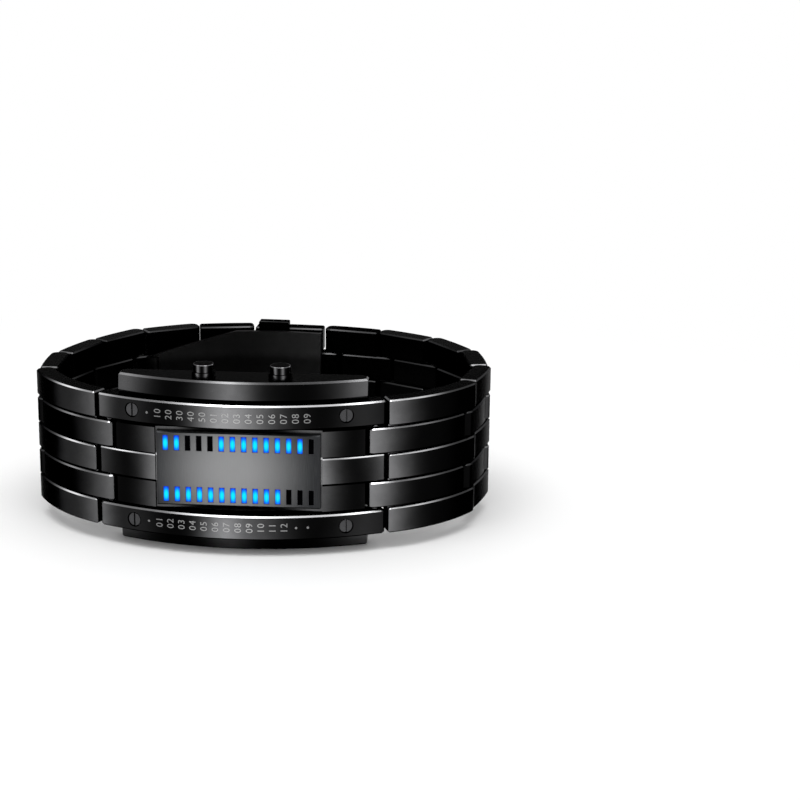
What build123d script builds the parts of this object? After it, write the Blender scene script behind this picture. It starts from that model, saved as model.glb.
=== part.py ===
from build123d import *
from math import asin, atan, atan2, cos, degrees, hypot, radians, sin, sqrt
import os

# Binary light watch on a five-row steel bracelet, standing on the long edge of its case.
# X runs along the case, Y from the face towards the back of the wrist loop, Z across the band.
# The origin lies on the stand face, the lower fairing's outer face, under the pusher axes.
# All sizes are in millimetres, angles in degrees.

# Band
half_width = 11.62
row_count = 5
row_gap = 0.3
half_thickness = 1.6
edge_bevel = 0.22
link_dome = 0.22
wall_reach = 2.0
tip_reach = 1.9
tip_round = 1.35
end_tip_reach = 1.45
end_tip_round = 0.9
open_tip_reach = 1.6
open_tip_round = 1.3
wall_round = 0.35
core_inset = 0.55
first_chord = 18.9
first_rise = 1.5
link_chord = 10.9
pin_radius = 0.55
pin_fit = 0.01
hinge_fit = 0.06
open_pivot_play = 0.45
pin_cover = 1.2
pin_recess = 0.3
pin_point_share = 0.25
right_headings = (40, 77, 101, 126, 150, 167)
left_headings = (44, 88, 111, 124, 150, 169)

# Case
rail_half_length = 24.4
rail_sagitta = 6.01
rail_height = 4.17
rail_seat_gap = 0.05
rail_bevel = 0.25
case_half_length = 20.9
case_depth = 11.18
pusher_depth = 7.4
shelf_gap = 0.2
flank_thickness = 2.74
flank_half_length = 21.0
flank_low_crest = 2.61
flank_low_end = 3.36
flank_high_crest = 3.79
flank_high_end = 2.86
flank_bevel = 0.3
flank_corner = 0.8
stub_start = 14.0
stub_recess = 0.35
centre_stub_recess = 0.5
stub_root = 0.6

# Display
plate_half_length = 13.69
plate_margin = 1.04
plate_front = 1.9
plate_thickness = 0.9
plate_bevel = 0.25
seat_margin = 0.45
display_half_length = 13.0
display_half_height = 6.0
window_pitch = 1.872
window_columns = 14
window_row_reach = 4.45
window_width = 0.88
window_height = 2.6
window_fit = 0.02
window_recess = 0.08
light_bar_tail = 0.5
lit_upper = (0, 1, 5, 6, 7, 8, 9, 10, 11, 12)
lit_lower = (0, 1, 2, 3, 4, 5, 6, 7, 8, 9, 10)

# Electronics
chip_gap = 0.1
chip_width = 0.8
chip_height = 1.6
chip_thickness = 0.5
board_half_length = 12.8
board_half_height = 5.8
board_thickness = 0.8
driver_length = 5.0
driver_height = 4.0
driver_thickness = 1.0
driver_offset = 4.5
quartz_radius = 0.75
quartz_length = 5.0
quartz_offset = -4.0
can_round_share = 0.4
cavity_half_length = 14.3
cavity_wall = 2.12
cavity_front = 6.3
cell_radius = 8.0
cell_thickness = 1.6
cell_fit = 0.1
cell_bevel = 0.3
cell_floor = 0.4
module_gap = 0.05
module_half_length = 14.1
module_clearance = 1.1
post_radius = 0.6
post_inset = 1.0
notch_half_width = 1.6
notch_depth = 1.4
contact_thickness = 0.15
contact_half_width = 1.0
contact_depth = 1.6
clip_half_length = 10.5
clip_half_height = 2.0
clip_thickness = 0.3
clip_slot_fit = 0.05

# Case back
back_half_length = 17.5
back_wall = 1.02
back_thickness = 1.2
back_proud = 0.32
back_fit = 0.1
back_corner = 2.0
back_bevel = 0.3
gasket_width = 0.6
gasket_depth = 0.5
gasket_margin = 0.35
back_screw_x = 16.2
back_screw_inset = 2.4
back_screw_radius = 0.5
back_screw_head = 0.95
back_screw_length = 2.6
screw_fit = 0.02

# Rail screws
rail_screw_x = 17.9
rail_screw_inset = 2.02
rail_screw_radius = 0.6
rail_screw_head = 1.08
rail_screw_ring = 1.3
rail_screw_head_depth = 0.55
rail_screw_reach = 4.3
rail_screw_rim = 0.12
slot_width = 0.3
slot_depth = 0.3

# Pushers
pusher_x = 6.45
stem_radius = 0.7
neck_radius = 1.3
cap_radius = 1.72
cap_height = 1.4
cap_round = 0.2
cap_fit = 0.05
cap_sink = 0.05
cap_bore_depth = 0.8
collar_radius = 1.98
collar_height = 0.9
tube_radius = 1.7
tube_fit = 0.02
stem_fit = 0.05
counterbore_radius = 1.4
counterbore_floor = 3.8
spring_length = 2.0
spring_radius = 1.05
spring_wire = 0.12
spring_turns = 4
stem_reach = 1.5
clip_radius = 1.0
clip_height = 0.25
clip_groove_radius = 0.5
clip_drop = 0.35
clip_opening = 0.8
seal_major = 0.92
seal_minor = 0.17
seal_groove_radius = 1.12
seal_groove_height = 0.5
seal_height = 0.9

# Clasp
fold_share = 0.19
arm_gap = 0.6
arm_thickness = 0.8
blade_gap = 0.3
blade_thickness = 0.9
arm_inset = 0.5
knuckle_radius = 1.2
knuckle_gap = 0.3
centre_knuckle_reach = 4.0
blade_inset = 0.32
blade_taper = 4.1
blade_taper_length = 15.0
fold_pin_radius = 0.5
housing_gap = 0.02
button_offset = 5.6
button_width = 5.7
button_shoulder = 0.6
button_thickness = 2.0
button_proud = 1.3
button_fit = 0.06
button_wall = 1.3
button_body = 3.2
button_round = 0.3
pocket_play = 0.1
release_spring_radius = 0.7
release_spring_wire = 0.11
release_spring_turns = 7
centre_wall = 0.8
latch_row_depth = 0.45

# Values worked out from the sizes above
overrun = half_thickness
rail_inner_reach = half_width - rail_height
rail_screw_z = half_width - rail_screw_inset
shelf_reach = half_width + shelf_gap
flank_reach = shelf_reach + flank_thickness
seat_half_height = rail_inner_reach - seat_margin
plate_half_height = rail_inner_reach - plate_margin
cavity_half_height = shelf_reach - cavity_wall
module_half_height = cavity_half_height - module_clearance
back_half_height = shelf_reach - back_wall
back_screw_z = back_half_height - back_screw_inset
blade_wide = half_width - blade_inset
blade_narrow = blade_wide - blade_taper
arm_half_width = blade_narrow - arm_inset
mid_z = flank_reach
row_height = (2 * half_width - (row_count - 1) * row_gap) / row_count
row_pitch = row_height + row_gap
middle_row = (row_count - 1) / 2
crest_y = -pusher_depth
rail_radius = (rail_half_length**2 + rail_sagitta**2) / (2 * rail_sagitta)
rail_back_radius = rail_radius - 2 * half_thickness
bend_y = crest_y + rail_radius
end_angle = degrees(asin(rail_half_length / rail_radius))
hinge_radius = rail_radius - half_thickness
hinge_angle = end_angle - degrees(end_tip_reach / hinge_radius)
back_y = crest_y + case_depth
seat_y = crest_y + plate_front + plate_thickness
cavity_y = crest_y + cavity_front
back_seat_y = back_y - back_thickness


def bend_point(radius, angle):
    """Point at a radius and an angle about the axis of the case's bend."""
    return (radius * sin(radians(angle)), bend_y - radius * cos(radians(angle)))


def bend_depth(radius, x):
    """Y of a bend surface at a distance along the case."""
    return bend_y - sqrt(radius**2 - x**2)


def chain_planes(side, headings):
    """Local planes of the links of one side: X along the chord, Y outwards."""
    start_x, start_y = bend_point(hinge_radius, side * hinge_angle)
    planes = []
    for index, heading in enumerate(headings):
        chord = link_chord if index else first_chord
        along = (side * cos(radians(heading)), sin(radians(heading)), 0)
        planes.append(Plane((start_x, start_y, mid_z), x_dir=along, z_dir=(0, 0, -side)))
        start_x += chord * along[0]
        start_y += chord * along[1]
    return planes, (start_x, start_y)


def circle_through(first, second, third):
    """Centre and radius of the circle through three points in plan."""
    (ax, ay), (bx, by), (cx, cy) = first, second, third
    double = 2 * (ax * (by - cy) + bx * (cy - ay) + cx * (ay - by))
    sa, sb, sc = ax**2 + ay**2, bx**2 + by**2, cx**2 + cy**2
    x = (sa * (by - cy) + sb * (cy - ay) + sc * (ay - by)) / double
    y = (sa * (cx - bx) + sb * (ax - cx) + sc * (bx - ax)) / double
    return (x, y), hypot(ax - x, ay - y)


def in_plan(plane, along, outward):
    """World X and Y of a point given in a link's own plane."""
    place = plane.from_local_coords((along, outward, 0))
    return (place.X, place.Y)


left_planes, left_end = chain_planes(-1, left_headings)
right_planes, right_end = chain_planes(1, right_headings)
latch_chord = hypot(right_end[0] - left_end[0], right_end[1] - left_end[1])
latch_along = ((right_end[0] - left_end[0]) / latch_chord, (right_end[1] - left_end[1]) / latch_chord, 0)
latch_plane = Plane((*left_end, mid_z), x_dir=latch_along, z_dir=(0, 0, 1))
blade_depth = half_thickness + arm_gap + arm_thickness + blade_gap + blade_thickness / 2
fold_point = in_plan(left_planes[4], fold_share * link_chord, -blade_depth)
blade_mid = in_plan(left_planes[5], link_chord, -blade_depth)
blade_end = in_plan(latch_plane, latch_chord - wall_reach, -blade_depth)
blade_centre, blade_radius = circle_through(fold_point, blade_mid, blade_end)
arm_radius = blade_radius + (blade_thickness + arm_thickness) / 2 + blade_gap


def row_low(row):
    """Height of a row's lower face, from the middle of the band."""
    return (row - middle_row) * row_pitch - row_height / 2


os.makedirs("parts", exist_ok=True)


def finish(part, label):
    """Name a finished piece and write it to its own file."""
    part.label = label
    export_step(part, f"parts/{label}.step")


def bend_bar(outer, inner, reach):
    """Plan face between two bend radii, reaching an angle to both sides of the crest."""
    with BuildSketch() as bar:
        with BuildLine():
            ThreePointArc(bend_point(outer, -reach), bend_point(outer, 0), bend_point(outer, reach))
            Line(bend_point(outer, reach), bend_point(inner, reach))
            ThreePointArc(bend_point(inner, reach), bend_point(inner, 0), bend_point(inner, -reach))
            Line(bend_point(inner, -reach), bend_point(outer, -reach))
        make_face()
    return bar.sketch


def strip(centre, middle_radius, thickness, start, end):
    """Plan face of a curved strip about a centre, from one bearing to another."""
    places = []
    for radius in (middle_radius + thickness / 2, middle_radius - thickness / 2):
        for bearing in (start, (start + end) / 2, end):
            turn = radians(bearing)
            places.append((centre[0] + radius * cos(turn), centre[1] + radius * sin(turn)))
    with BuildSketch() as shape:
        with BuildLine():
            ThreePointArc(places[0], places[1], places[2])
            Line(places[2], places[5])
            ThreePointArc(places[5], places[4], places[3])
            Line(places[3], places[0])
        make_face()
    return shape.sketch


def bearing_of(centre, place):
    """Bearing of a plan point as seen from a centre."""
    return degrees(atan2(place[1] - centre[1], place[0] - centre[0]))


def link_outline(chord, rise, near, far, half, near_round, far_round):
    """Side view of a link row in its own plane: near and far are measured from the hinge axes."""
    slope = 2 * atan(2 * rise / chord)
    dome = link_dome if near_round else 0
    along_near, out_near = (cos(slope), sin(slope)), (-sin(slope), cos(slope))
    along_far, out_far = (cos(slope), -sin(slope)), (sin(slope), cos(slope))
    near_mid = (near * along_near[0], near * along_near[1])
    far_mid = (chord + far * along_far[0], far * along_far[1])
    near_out = (near_mid[0] + half * out_near[0], near_mid[1] + half * out_near[1])
    near_in = (near_mid[0] - half * out_near[0], near_mid[1] - half * out_near[1])
    far_out = (far_mid[0] + half * out_far[0], far_mid[1] + half * out_far[1])
    far_in = (far_mid[0] - half * out_far[0], far_mid[1] - half * out_far[1])
    with BuildSketch() as outline:
        with BuildLine():
            if rise + dome:
                ThreePointArc(near_out, (chord / 2, rise + half + dome), far_out)
            else:
                Line(near_out, far_out)
            Line(far_out, far_in)
            if rise:
                ThreePointArc(far_in, (chord / 2, rise - half), near_in)
            else:
                Line(far_in, near_in)
            Line(near_in, near_out)
        make_face()
        if near_round:
            corners = outline.vertices().sort_by(Axis.X)
            fillet(corners[:2], radius=near_round)
            corners = outline.vertices().sort_by(Axis.X)
            fillet(corners[-2:], radius=far_round)
    return outline.sketch


def link_row_outlines(chord, rise, near_tip, near_round, far_tip, far_round):
    """Outlines of a link's ear rows, its tongue rows and the plate that joins them."""
    ears = link_outline(chord, rise, wall_reach, far_tip, half_thickness, wall_round, far_round)
    tongues = link_outline(chord, rise, -near_tip, -wall_reach, half_thickness, near_round, wall_round)
    core = link_outline(chord, rise, wall_reach, -wall_reach, half_thickness - core_inset, 0, 0)
    return ears, tongues, core


# Row outlines of the bracelet links: the case's and the clasp's neighbours have shorter tips there
plain_tip = (tip_reach, tip_round)
short_tip = (end_tip_reach, end_tip_round)
open_tip = (open_tip_reach, open_tip_round)
first_rows = link_row_outlines(first_chord, first_rise, *short_tip, *plain_tip)
middle_rows = link_row_outlines(link_chord, 0, *plain_tip, *plain_tip)
left_last_rows = link_row_outlines(link_chord, 0, *plain_tip, *short_tip)
right_last_rows = link_row_outlines(link_chord, 0, *plain_tip, *open_tip)
link_rows = (first_rows, middle_rows, middle_rows, middle_rows, middle_rows)


def build_link(label, plane, chord, rows):
    """One rigid five-row link: ear rows reach past its far hinge and tongues past its near one."""
    ears, tongues, core = rows
    with BuildPart() as link:
        for row in range(row_count):
            with BuildSketch(plane.offset(row_low(row))):
                add(tongues if row % 2 else ears)
            extrude(amount=row_height)
        chamfer(link.faces().filter_by(Axis.Z).edges(), length=edge_bevel)
        with BuildSketch(plane.offset(row_height / 2 - half_width)):
            add(core)
        extrude(amount=2 * half_width - row_height)
        near_hinge = in_plan(plane, 0, 0)
        far_hinge = in_plan(plane, chord, 0)
        with BuildSketch(Plane.XY.offset(mid_z - half_width)):
            with Locations(near_hinge):
                Circle(pin_radius + hinge_fit)
        extrude(amount=2 * half_width - pin_cover, mode=Mode.SUBTRACT)
        with BuildSketch(Plane.XY.offset(mid_z - half_width)):
            with Locations(far_hinge):
                Circle(pin_radius + pin_fit)
        extrude(amount=2 * half_width - pin_cover, mode=Mode.SUBTRACT)
    finish(link.part, label)


def build_pin(label, places, radius, low, high):
    """Plain hinge pins standing along the band's width."""
    with BuildPart() as pin:
        with BuildSketch(Plane.XY.offset(low)):
            with Locations(*places):
                Circle(radius)
        extrude(amount=high - low)
        rims = pin.edges().filter_by(GeomType.CIRCLE)
        chamfer(rims, length=radius * pin_point_share)
    finish(pin.part, label)


# Bracelet links and their hinge pins
pin_low = mid_z - half_width + pin_recess
pin_high = mid_z + half_width - pin_cover - pin_fit
link_sides = (("left", left_planes, left_last_rows), ("right", right_planes, right_last_rows))
for side_name, planes, last_rows in link_sides:
    for index, plane in enumerate(planes):
        chord = link_chord if index else first_chord
        number = index + 1
        build_link(f"{side_name}_link_{number}", plane, chord, (*link_rows, last_rows)[index])
        build_pin(f"{side_name}_pin_{number}", (in_plan(plane, chord, 0),), pin_radius, pin_low, pin_high)

end_hinges = (bend_point(hinge_radius, -hinge_angle), bend_point(hinge_radius, hinge_angle))
build_pin("case_pins", end_hinges, pin_radius, pin_low, pin_high)


def screw_plane(side, direction, radius):
    """Plane at a rail screw, at a bend radius, looking outwards from the face."""
    turn = radians(side * rail_screw_angle)
    spot = bend_point(radius, side * rail_screw_angle)
    height = mid_z + direction * rail_screw_z
    return Plane((*spot, height), x_dir=(cos(turn), sin(turn), 0), z_dir=(sin(turn), -cos(turn), 0))


# Rails: curved bars along both edges of the face, with the outer hinge lugs at their ends
rail_profile = bend_bar(rail_radius, rail_back_radius, end_angle)
rail_screw_angle = degrees(asin(rail_screw_x / rail_radius))
for name, direction in (("upper_rail", 1), ("lower_rail", -1)):
    low = mid_z + min(direction * rail_inner_reach, direction * half_width)
    with BuildPart() as rail:
        with BuildSketch(Plane.XY.offset(low)) as rail_plan:
            add(rail_profile)
            fillet(rail_plan.vertices(), radius=end_tip_round)
        extrude(amount=half_width - rail_inner_reach)
        chamfer(rail.faces().filter_by(Axis.Z).edges(), length=rail_bevel)
        if direction > 0:
            bore_depth = half_width - rail_inner_reach - pin_cover
        else:
            bore_depth = half_width - rail_inner_reach
        with BuildSketch(Plane.XY.offset(low)):
            with Locations(*end_hinges):
                Circle(pin_radius + pin_fit)
        extrude(amount=bore_depth, mode=Mode.SUBTRACT)
        for side in (-1, 1):
            face = screw_plane(side, direction, rail_radius)
            with BuildSketch(face):
                Circle(rail_screw_ring)
            extrude(amount=-rail_screw_head_depth, mode=Mode.SUBTRACT)
            with BuildSketch(face):
                Circle(rail_screw_radius + screw_fit)
            extrude(amount=-(2 * half_thickness + overrun), mode=Mode.SUBTRACT)
    finish(rail.part, name)

# Slotted screws that hold the rails on the case body
with BuildPart() as rail_screws:
    for side in (-1, 1):
        for direction in (-1, 1):
            head_face = screw_plane(side, direction, rail_radius - rail_screw_rim)
            with BuildSketch(head_face):
                Circle(rail_screw_head)
            extrude(amount=rail_screw_rim - rail_screw_head_depth)
            with BuildSketch(head_face):
                Circle(rail_screw_radius)
            extrude(amount=-rail_screw_reach)
            with BuildSketch(head_face):
                Rectangle(slot_width, 2 * rail_screw_head)
            extrude(amount=-slot_depth, mode=Mode.SUBTRACT)
finish(rail_screws.part, "rail_screws")


def flank_outline(crest, end):
    """Plan face of a side fairing: curved front, straight ends and back, bevelled corners."""
    front_y = crest_y + crest
    end_y = back_y - end
    reach = flank_half_length
    with BuildSketch() as outline:
        with BuildLine():
            ThreePointArc((-reach, end_y), (0, front_y), (reach, end_y))
            Line((reach, end_y), (reach, back_y))
            Line((reach, back_y), (-reach, back_y))
            Line((-reach, back_y), (-reach, end_y))
        make_face()
        corners = outline.vertices().group_by(Axis.Y)[-1]
        chamfer(corners, length=flank_corner)
    return outline.sketch


# Case body: core behind the rails, two side fairings, hinge stubs and the display seat
pusher_places = ((-pusher_x, 0), (pusher_x, 0))
back_screw_places = [(x, z) for x in (-back_screw_x, back_screw_x) for z in (-back_screw_z, back_screw_z)]
shell_radius = rail_back_radius - rail_seat_gap
stub_bar = bend_bar(rail_radius - stub_recess, shell_radius - stub_root, end_angle)
centre_stub_bar = bend_bar(rail_radius - centre_stub_recess, rail_back_radius, end_angle)
centre_root_bar = bend_bar(rail_radius - half_thickness, shell_radius - stub_root, end_angle)
core_end_y = bend_depth(shell_radius, case_half_length)
groove_length = 2 * (cavity_half_length + gasket_margin + gasket_width)
groove_height = 2 * (cavity_half_height + gasket_margin + gasket_width)
with BuildPart() as case_body:
    with BuildSketch(Plane.XY.offset(mid_z - shelf_reach)) as core_plan:
        with BuildLine():
            ThreePointArc(
                (-case_half_length, core_end_y),
                (0, bend_y - shell_radius),
                (case_half_length, core_end_y),
            )
            Line((case_half_length, core_end_y), (case_half_length, back_y))
            Line((case_half_length, back_y), (-case_half_length, back_y))
            Line((-case_half_length, back_y), (-case_half_length, core_end_y))
        make_face()
        chamfer(core_plan.vertices().group_by(Axis.Y)[-1], length=flank_corner)
    extrude(amount=2 * shelf_reach)
    for direction in (-1, 1):
        with BuildSketch(Plane.XY.offset(mid_z + direction * shelf_reach)):
            add(flank_outline(flank_low_crest, flank_low_end))
        with BuildSketch(Plane.XY.offset(mid_z + direction * flank_reach)):
            add(flank_outline(flank_high_crest, flank_high_end))
        loft()
    rims = case_body.faces().filter_by(Axis.Z)
    outer_rims = rims.sort_by(Axis.Z)[:1] + rims.sort_by(Axis.Z)[-1:]
    chamfer(outer_rims.edges(), length=flank_bevel)
    for row in (1, row_count - 2):
        with BuildSketch(Plane.XY.offset(mid_z + row_low(row))) as stub_plan:
            add(stub_bar)
            with Locations((0, crest_y)):
                Rectangle(2 * stub_start, 4 * case_depth, mode=Mode.SUBTRACT)
            with Locations((-2 * case_half_length, crest_y), (2 * case_half_length, crest_y)):
                Rectangle(2 * case_half_length, 4 * case_depth, mode=Mode.SUBTRACT)
        extrude(amount=row_height)
    with BuildSketch(Plane.XY.offset(mid_z - row_height / 2)) as centre_plan:
        add(centre_stub_bar)
        fillet(centre_plan.vertices(), radius=end_tip_round - centre_stub_recess)
        with Locations((0, crest_y)):
            Rectangle(2 * stub_start, 4 * case_depth, mode=Mode.SUBTRACT)
    extrude(amount=row_height)
    with BuildSketch(Plane.XY.offset(mid_z - row_height / 2)):
        add(centre_root_bar)
        with Locations((0, crest_y)):
            Rectangle(2 * stub_start, 4 * case_depth, mode=Mode.SUBTRACT)
        with Locations((-2 * case_half_length, crest_y), (2 * case_half_length, crest_y)):
            Rectangle(2 * case_half_length, 4 * case_depth, mode=Mode.SUBTRACT)
    extrude(amount=row_height)
    with BuildSketch(Plane.XZ.offset(-seat_y)):
        with Locations((0, mid_z)):
            Rectangle(2 * (stub_start - rail_seat_gap), 2 * seat_half_height)
    extrude(amount=seat_y - cavity_y)
    with BuildSketch(Plane.XZ.offset(-cavity_y)):
        with Locations((0, mid_z)):
            Rectangle(2 * display_half_length, 2 * display_half_height)
    extrude(amount=case_depth, mode=Mode.SUBTRACT)
    with BuildSketch(Plane.XZ.offset(-back_y)):
        with Locations((0, mid_z)):
            Rectangle(2 * cavity_half_length, 2 * cavity_half_height)
    extrude(amount=back_y - cavity_y, mode=Mode.SUBTRACT)
    with BuildSketch(Plane.XZ.offset(-back_y)):
        with Locations((0, mid_z)):
            RectangleRounded(
                2 * (back_half_length + back_fit),
                2 * (back_half_height + back_fit),
                back_corner + back_fit,
            )
    extrude(amount=back_thickness, mode=Mode.SUBTRACT)
    with BuildSketch(Plane.XZ.offset(-back_seat_y)):
        with Locations((0, mid_z)):
            Rectangle(groove_length, groove_height)
            hole_length = groove_length - 2 * gasket_width
            hole_height = groove_height - 2 * gasket_width
            Rectangle(hole_length, hole_height, mode=Mode.SUBTRACT)
    extrude(amount=gasket_depth, mode=Mode.SUBTRACT)
    with BuildSketch(Plane.XZ.offset(-back_seat_y)):
        with Locations(*[(x, mid_z + z) for x, z in back_screw_places]):
            Circle(back_screw_radius + screw_fit)
    extrude(amount=back_screw_length, mode=Mode.SUBTRACT)
    with BuildSketch(Plane.XY.offset(mid_z + cavity_half_height)):
        with Locations(*pusher_places):
            Circle(tube_radius + tube_fit)
    extrude(amount=flank_reach, mode=Mode.SUBTRACT)
    with BuildSketch(Plane.XY.offset(mid_z - row_height)):
        with Locations(*end_hinges):
            Circle(pin_radius + pin_fit)
    extrude(amount=2 * row_height, mode=Mode.SUBTRACT)
    for row in (1, row_count - 2):
        with BuildSketch(Plane.XY.offset(mid_z + (row - middle_row) * row_pitch - row_pitch / 2)):
            with Locations(*end_hinges):
                Circle(wall_reach)
        extrude(amount=row_pitch, mode=Mode.SUBTRACT)
    for side in (-1, 1):
        for direction in (-1, 1):
            with BuildSketch(screw_plane(side, direction, rail_radius)):
                Circle(rail_screw_radius + screw_fit)
            extrude(amount=-(rail_screw_reach + rail_screw_rim + screw_fit), mode=Mode.SUBTRACT)
finish(case_body.part, "case_body")


def build_slabs(label, places, width, height, front, back, bevel=0.0):
    """Group of equal upright slabs, each from a front depth to a back depth."""
    with BuildPart() as slabs:
        with BuildSketch(Plane.XZ.offset(-front)):
            with Locations(*places):
                Rectangle(width, height)
        extrude(amount=front - back)
        if bevel:
            chamfer(slabs.faces().sort_by(Axis.Y)[0].edges(), length=bevel)
    finish(slabs.part, label)


def window_places(columns, direction):
    """Centres of display windows in the upper or the lower row."""
    height = mid_z + direction * window_row_reach
    return [((column - (window_columns - 1) / 2) * window_pitch, height) for column in columns]


# Display plate with its windows, and the light bars that fill them
all_columns = range(window_columns)
plate_y = crest_y + plate_front
all_windows = window_places(all_columns, 1) + window_places(all_columns, -1)
with BuildPart() as display_plate:
    with BuildSketch(Plane.XZ.offset(-plate_y)):
        with Locations((0, mid_z)):
            Rectangle(2 * plate_half_length, 2 * plate_half_height)
    extrude(amount=-plate_thickness)
    chamfer(display_plate.faces().sort_by(Axis.Y)[0].edges(), length=plate_bevel)
    with BuildSketch(Plane.XZ.offset(-plate_y)):
        with Locations(*all_windows):
            Rectangle(window_width, window_height)
    extrude(amount=-plate_thickness, mode=Mode.SUBTRACT)
finish(display_plate.part, "display_plate")

dark_upper = [column for column in all_columns if column not in lit_upper]
dark_lower = [column for column in all_columns if column not in lit_lower]
bar_front = plate_y + window_recess
bar_back = plate_y + plate_thickness + light_bar_tail
bar_width = window_width - 2 * window_fit
bar_height = window_height - 2 * window_fit
lit_places = window_places(lit_upper, 1) + window_places(lit_lower, -1)
dark_places = window_places(dark_upper, 1) + window_places(dark_lower, -1)
build_slabs("lit_windows", lit_places, bar_width, bar_height, bar_front, bar_back)
build_slabs("dark_windows", dark_places, bar_width, bar_height, bar_front, bar_back)

# Light board with its chips
chip_front = bar_back + chip_gap
board_front = chip_front + chip_thickness
board_back = board_front + board_thickness
build_slabs("light_chips", all_windows, chip_width, chip_height, chip_front, board_front)
build_slabs(
    "light_board", ((0, mid_z),), 2 * board_half_length, 2 * board_half_height, board_front, board_back
)
build_slabs(
    "driver_chip",
    ((driver_offset, mid_z),),
    driver_length,
    driver_height,
    board_back,
    board_back + driver_thickness,
)
with BuildPart() as quartz_can:
    with BuildSketch(Plane.YZ.offset(quartz_offset - quartz_length / 2)):
        with Locations((board_back + quartz_radius, mid_z)):
            Circle(quartz_radius)
    extrude(amount=quartz_length)
    fillet(quartz_can.edges().filter_by(GeomType.CIRCLE), radius=quartz_radius * can_round_share)
finish(quartz_can.part, "quartz_can")

# Module frame: holds the board on posts and the coin cell in a round pocket
cell_back = back_seat_y - clip_thickness - 2 * module_gap
cell_front = cell_back - cell_thickness
frame_back = back_seat_y - module_gap
frame_front = cavity_y + module_gap
with BuildPart() as module_frame:
    with BuildSketch(Plane.XZ.offset(-frame_front)):
        with Locations((0, mid_z)):
            Rectangle(2 * module_half_length, 2 * module_half_height)
        with Locations(*[(x, mid_z + module_half_height) for x in (-pusher_x, pusher_x)]):
            Rectangle(2 * notch_half_width, 2 * notch_depth, mode=Mode.SUBTRACT)
    extrude(amount=frame_front - frame_back)
    with BuildSketch(Plane.XZ.offset(-frame_back)):
        with Locations((0, mid_z)):
            Circle(cell_radius + cell_fit)
    extrude(amount=frame_back - cell_front, mode=Mode.SUBTRACT)
    with BuildSketch(Plane.XZ.offset(-frame_front)):
        with Locations((0, mid_z)):
            Rectangle(2 * (board_half_length - 2 * post_inset), 2 * (board_half_height - 2 * post_inset))
    extrude(amount=frame_front - (cell_front - cell_floor), mode=Mode.SUBTRACT)
    with BuildSketch(Plane.XZ.offset(-frame_back)):
        with Locations((0, mid_z)):
            Rectangle(2 * (clip_half_length + clip_slot_fit), 2 * (clip_half_height + clip_slot_fit))
    extrude(amount=clip_thickness + module_gap, mode=Mode.SUBTRACT)
    post_x = board_half_length - post_inset
    post_z = board_half_height - post_inset
    with BuildSketch(Plane.XZ.offset(-frame_front)):
        with Locations(*[(x, mid_z + z) for x in (-post_x, post_x) for z in (-post_z, post_z)]):
            Circle(post_radius)
    extrude(amount=frame_front - board_back)
finish(module_frame.part, "module_frame")

with BuildPart() as coin_cell:
    with BuildSketch(Plane.XZ.offset(-cell_front)):
        with Locations((0, mid_z)):
            Circle(cell_radius)
    extrude(amount=-cell_thickness)
    chamfer(coin_cell.edges().filter_by(GeomType.CIRCLE), length=cell_bevel)
finish(coin_cell.part, "coin_cell")

build_slabs(
    "cell_clip",
    ((0, mid_z),),
    2 * clip_half_length,
    2 * clip_half_height,
    cell_back + module_gap,
    cell_back + module_gap + clip_thickness,
)

# Switch contacts: thin leaves in the frame's notches under the pusher stems
contact_z = mid_z + module_half_height - notch_depth
with BuildPart() as switch_contacts:
    with BuildSketch(Plane.XY.offset(contact_z)):
        with Locations(*pusher_places):
            Rectangle(2 * contact_half_width, contact_depth)
    extrude(amount=contact_thickness)
finish(switch_contacts.part, "switch_contacts")

# Case back with countersunk screws and its gasket
back_face = back_y + back_proud
with BuildPart() as case_back:
    with BuildSketch(Plane.XZ.offset(-back_seat_y)):
        with Locations((0, mid_z)):
            RectangleRounded(2 * back_half_length, 2 * back_half_height, back_corner)
    extrude(amount=back_seat_y - back_face)
    chamfer(case_back.faces().sort_by(Axis.Y)[-1].edges(), length=back_bevel)
    for x, z in back_screw_places:
        with BuildSketch(Plane.XZ.offset(-back_face)):
            with Locations((x, mid_z + z)):
                Circle(back_screw_head + screw_fit)
        extrude(amount=back_screw_head - back_screw_radius, taper=45, mode=Mode.SUBTRACT)
        with BuildSketch(Plane.XZ.offset(-back_face)):
            with Locations((x, mid_z + z)):
                Circle(back_screw_radius + screw_fit)
        extrude(amount=back_face - back_seat_y, mode=Mode.SUBTRACT)
finish(case_back.part, "case_back")

screw_face = back_face - screw_fit
with BuildPart() as back_screws:
    for x, z in back_screw_places:
        with BuildSketch(Plane.XZ.offset(-screw_face)):
            with Locations((x, mid_z + z)):
                Circle(back_screw_head)
        extrude(amount=back_screw_head - back_screw_radius, taper=45)
        with BuildSketch(Plane.XZ.offset(-screw_face)):
            with Locations((x, mid_z + z)):
                Circle(back_screw_radius)
        extrude(amount=screw_face - back_seat_y + back_screw_length - screw_fit)
        with BuildSketch(Plane.XZ.offset(-screw_face)):
            with Locations((x, mid_z + z)):
                Rectangle(2 * back_screw_head, slot_width)
        extrude(amount=slot_depth, mode=Mode.SUBTRACT)
finish(back_screws.part, "back_screws")

with BuildPart() as back_gasket:
    with BuildSketch(Plane.XZ.offset(-back_seat_y)):
        with Locations((0, mid_z)):
            ring_length = groove_length - 2 * screw_fit
            ring_height = groove_height - 2 * screw_fit
            ring_width = gasket_width - 2 * screw_fit
            Rectangle(ring_length, ring_height)
            Rectangle(ring_length - 2 * ring_width, ring_height - 2 * ring_width, mode=Mode.SUBTRACT)
    extrude(amount=gasket_depth)
finish(back_gasket.part, "back_gasket")


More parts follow.
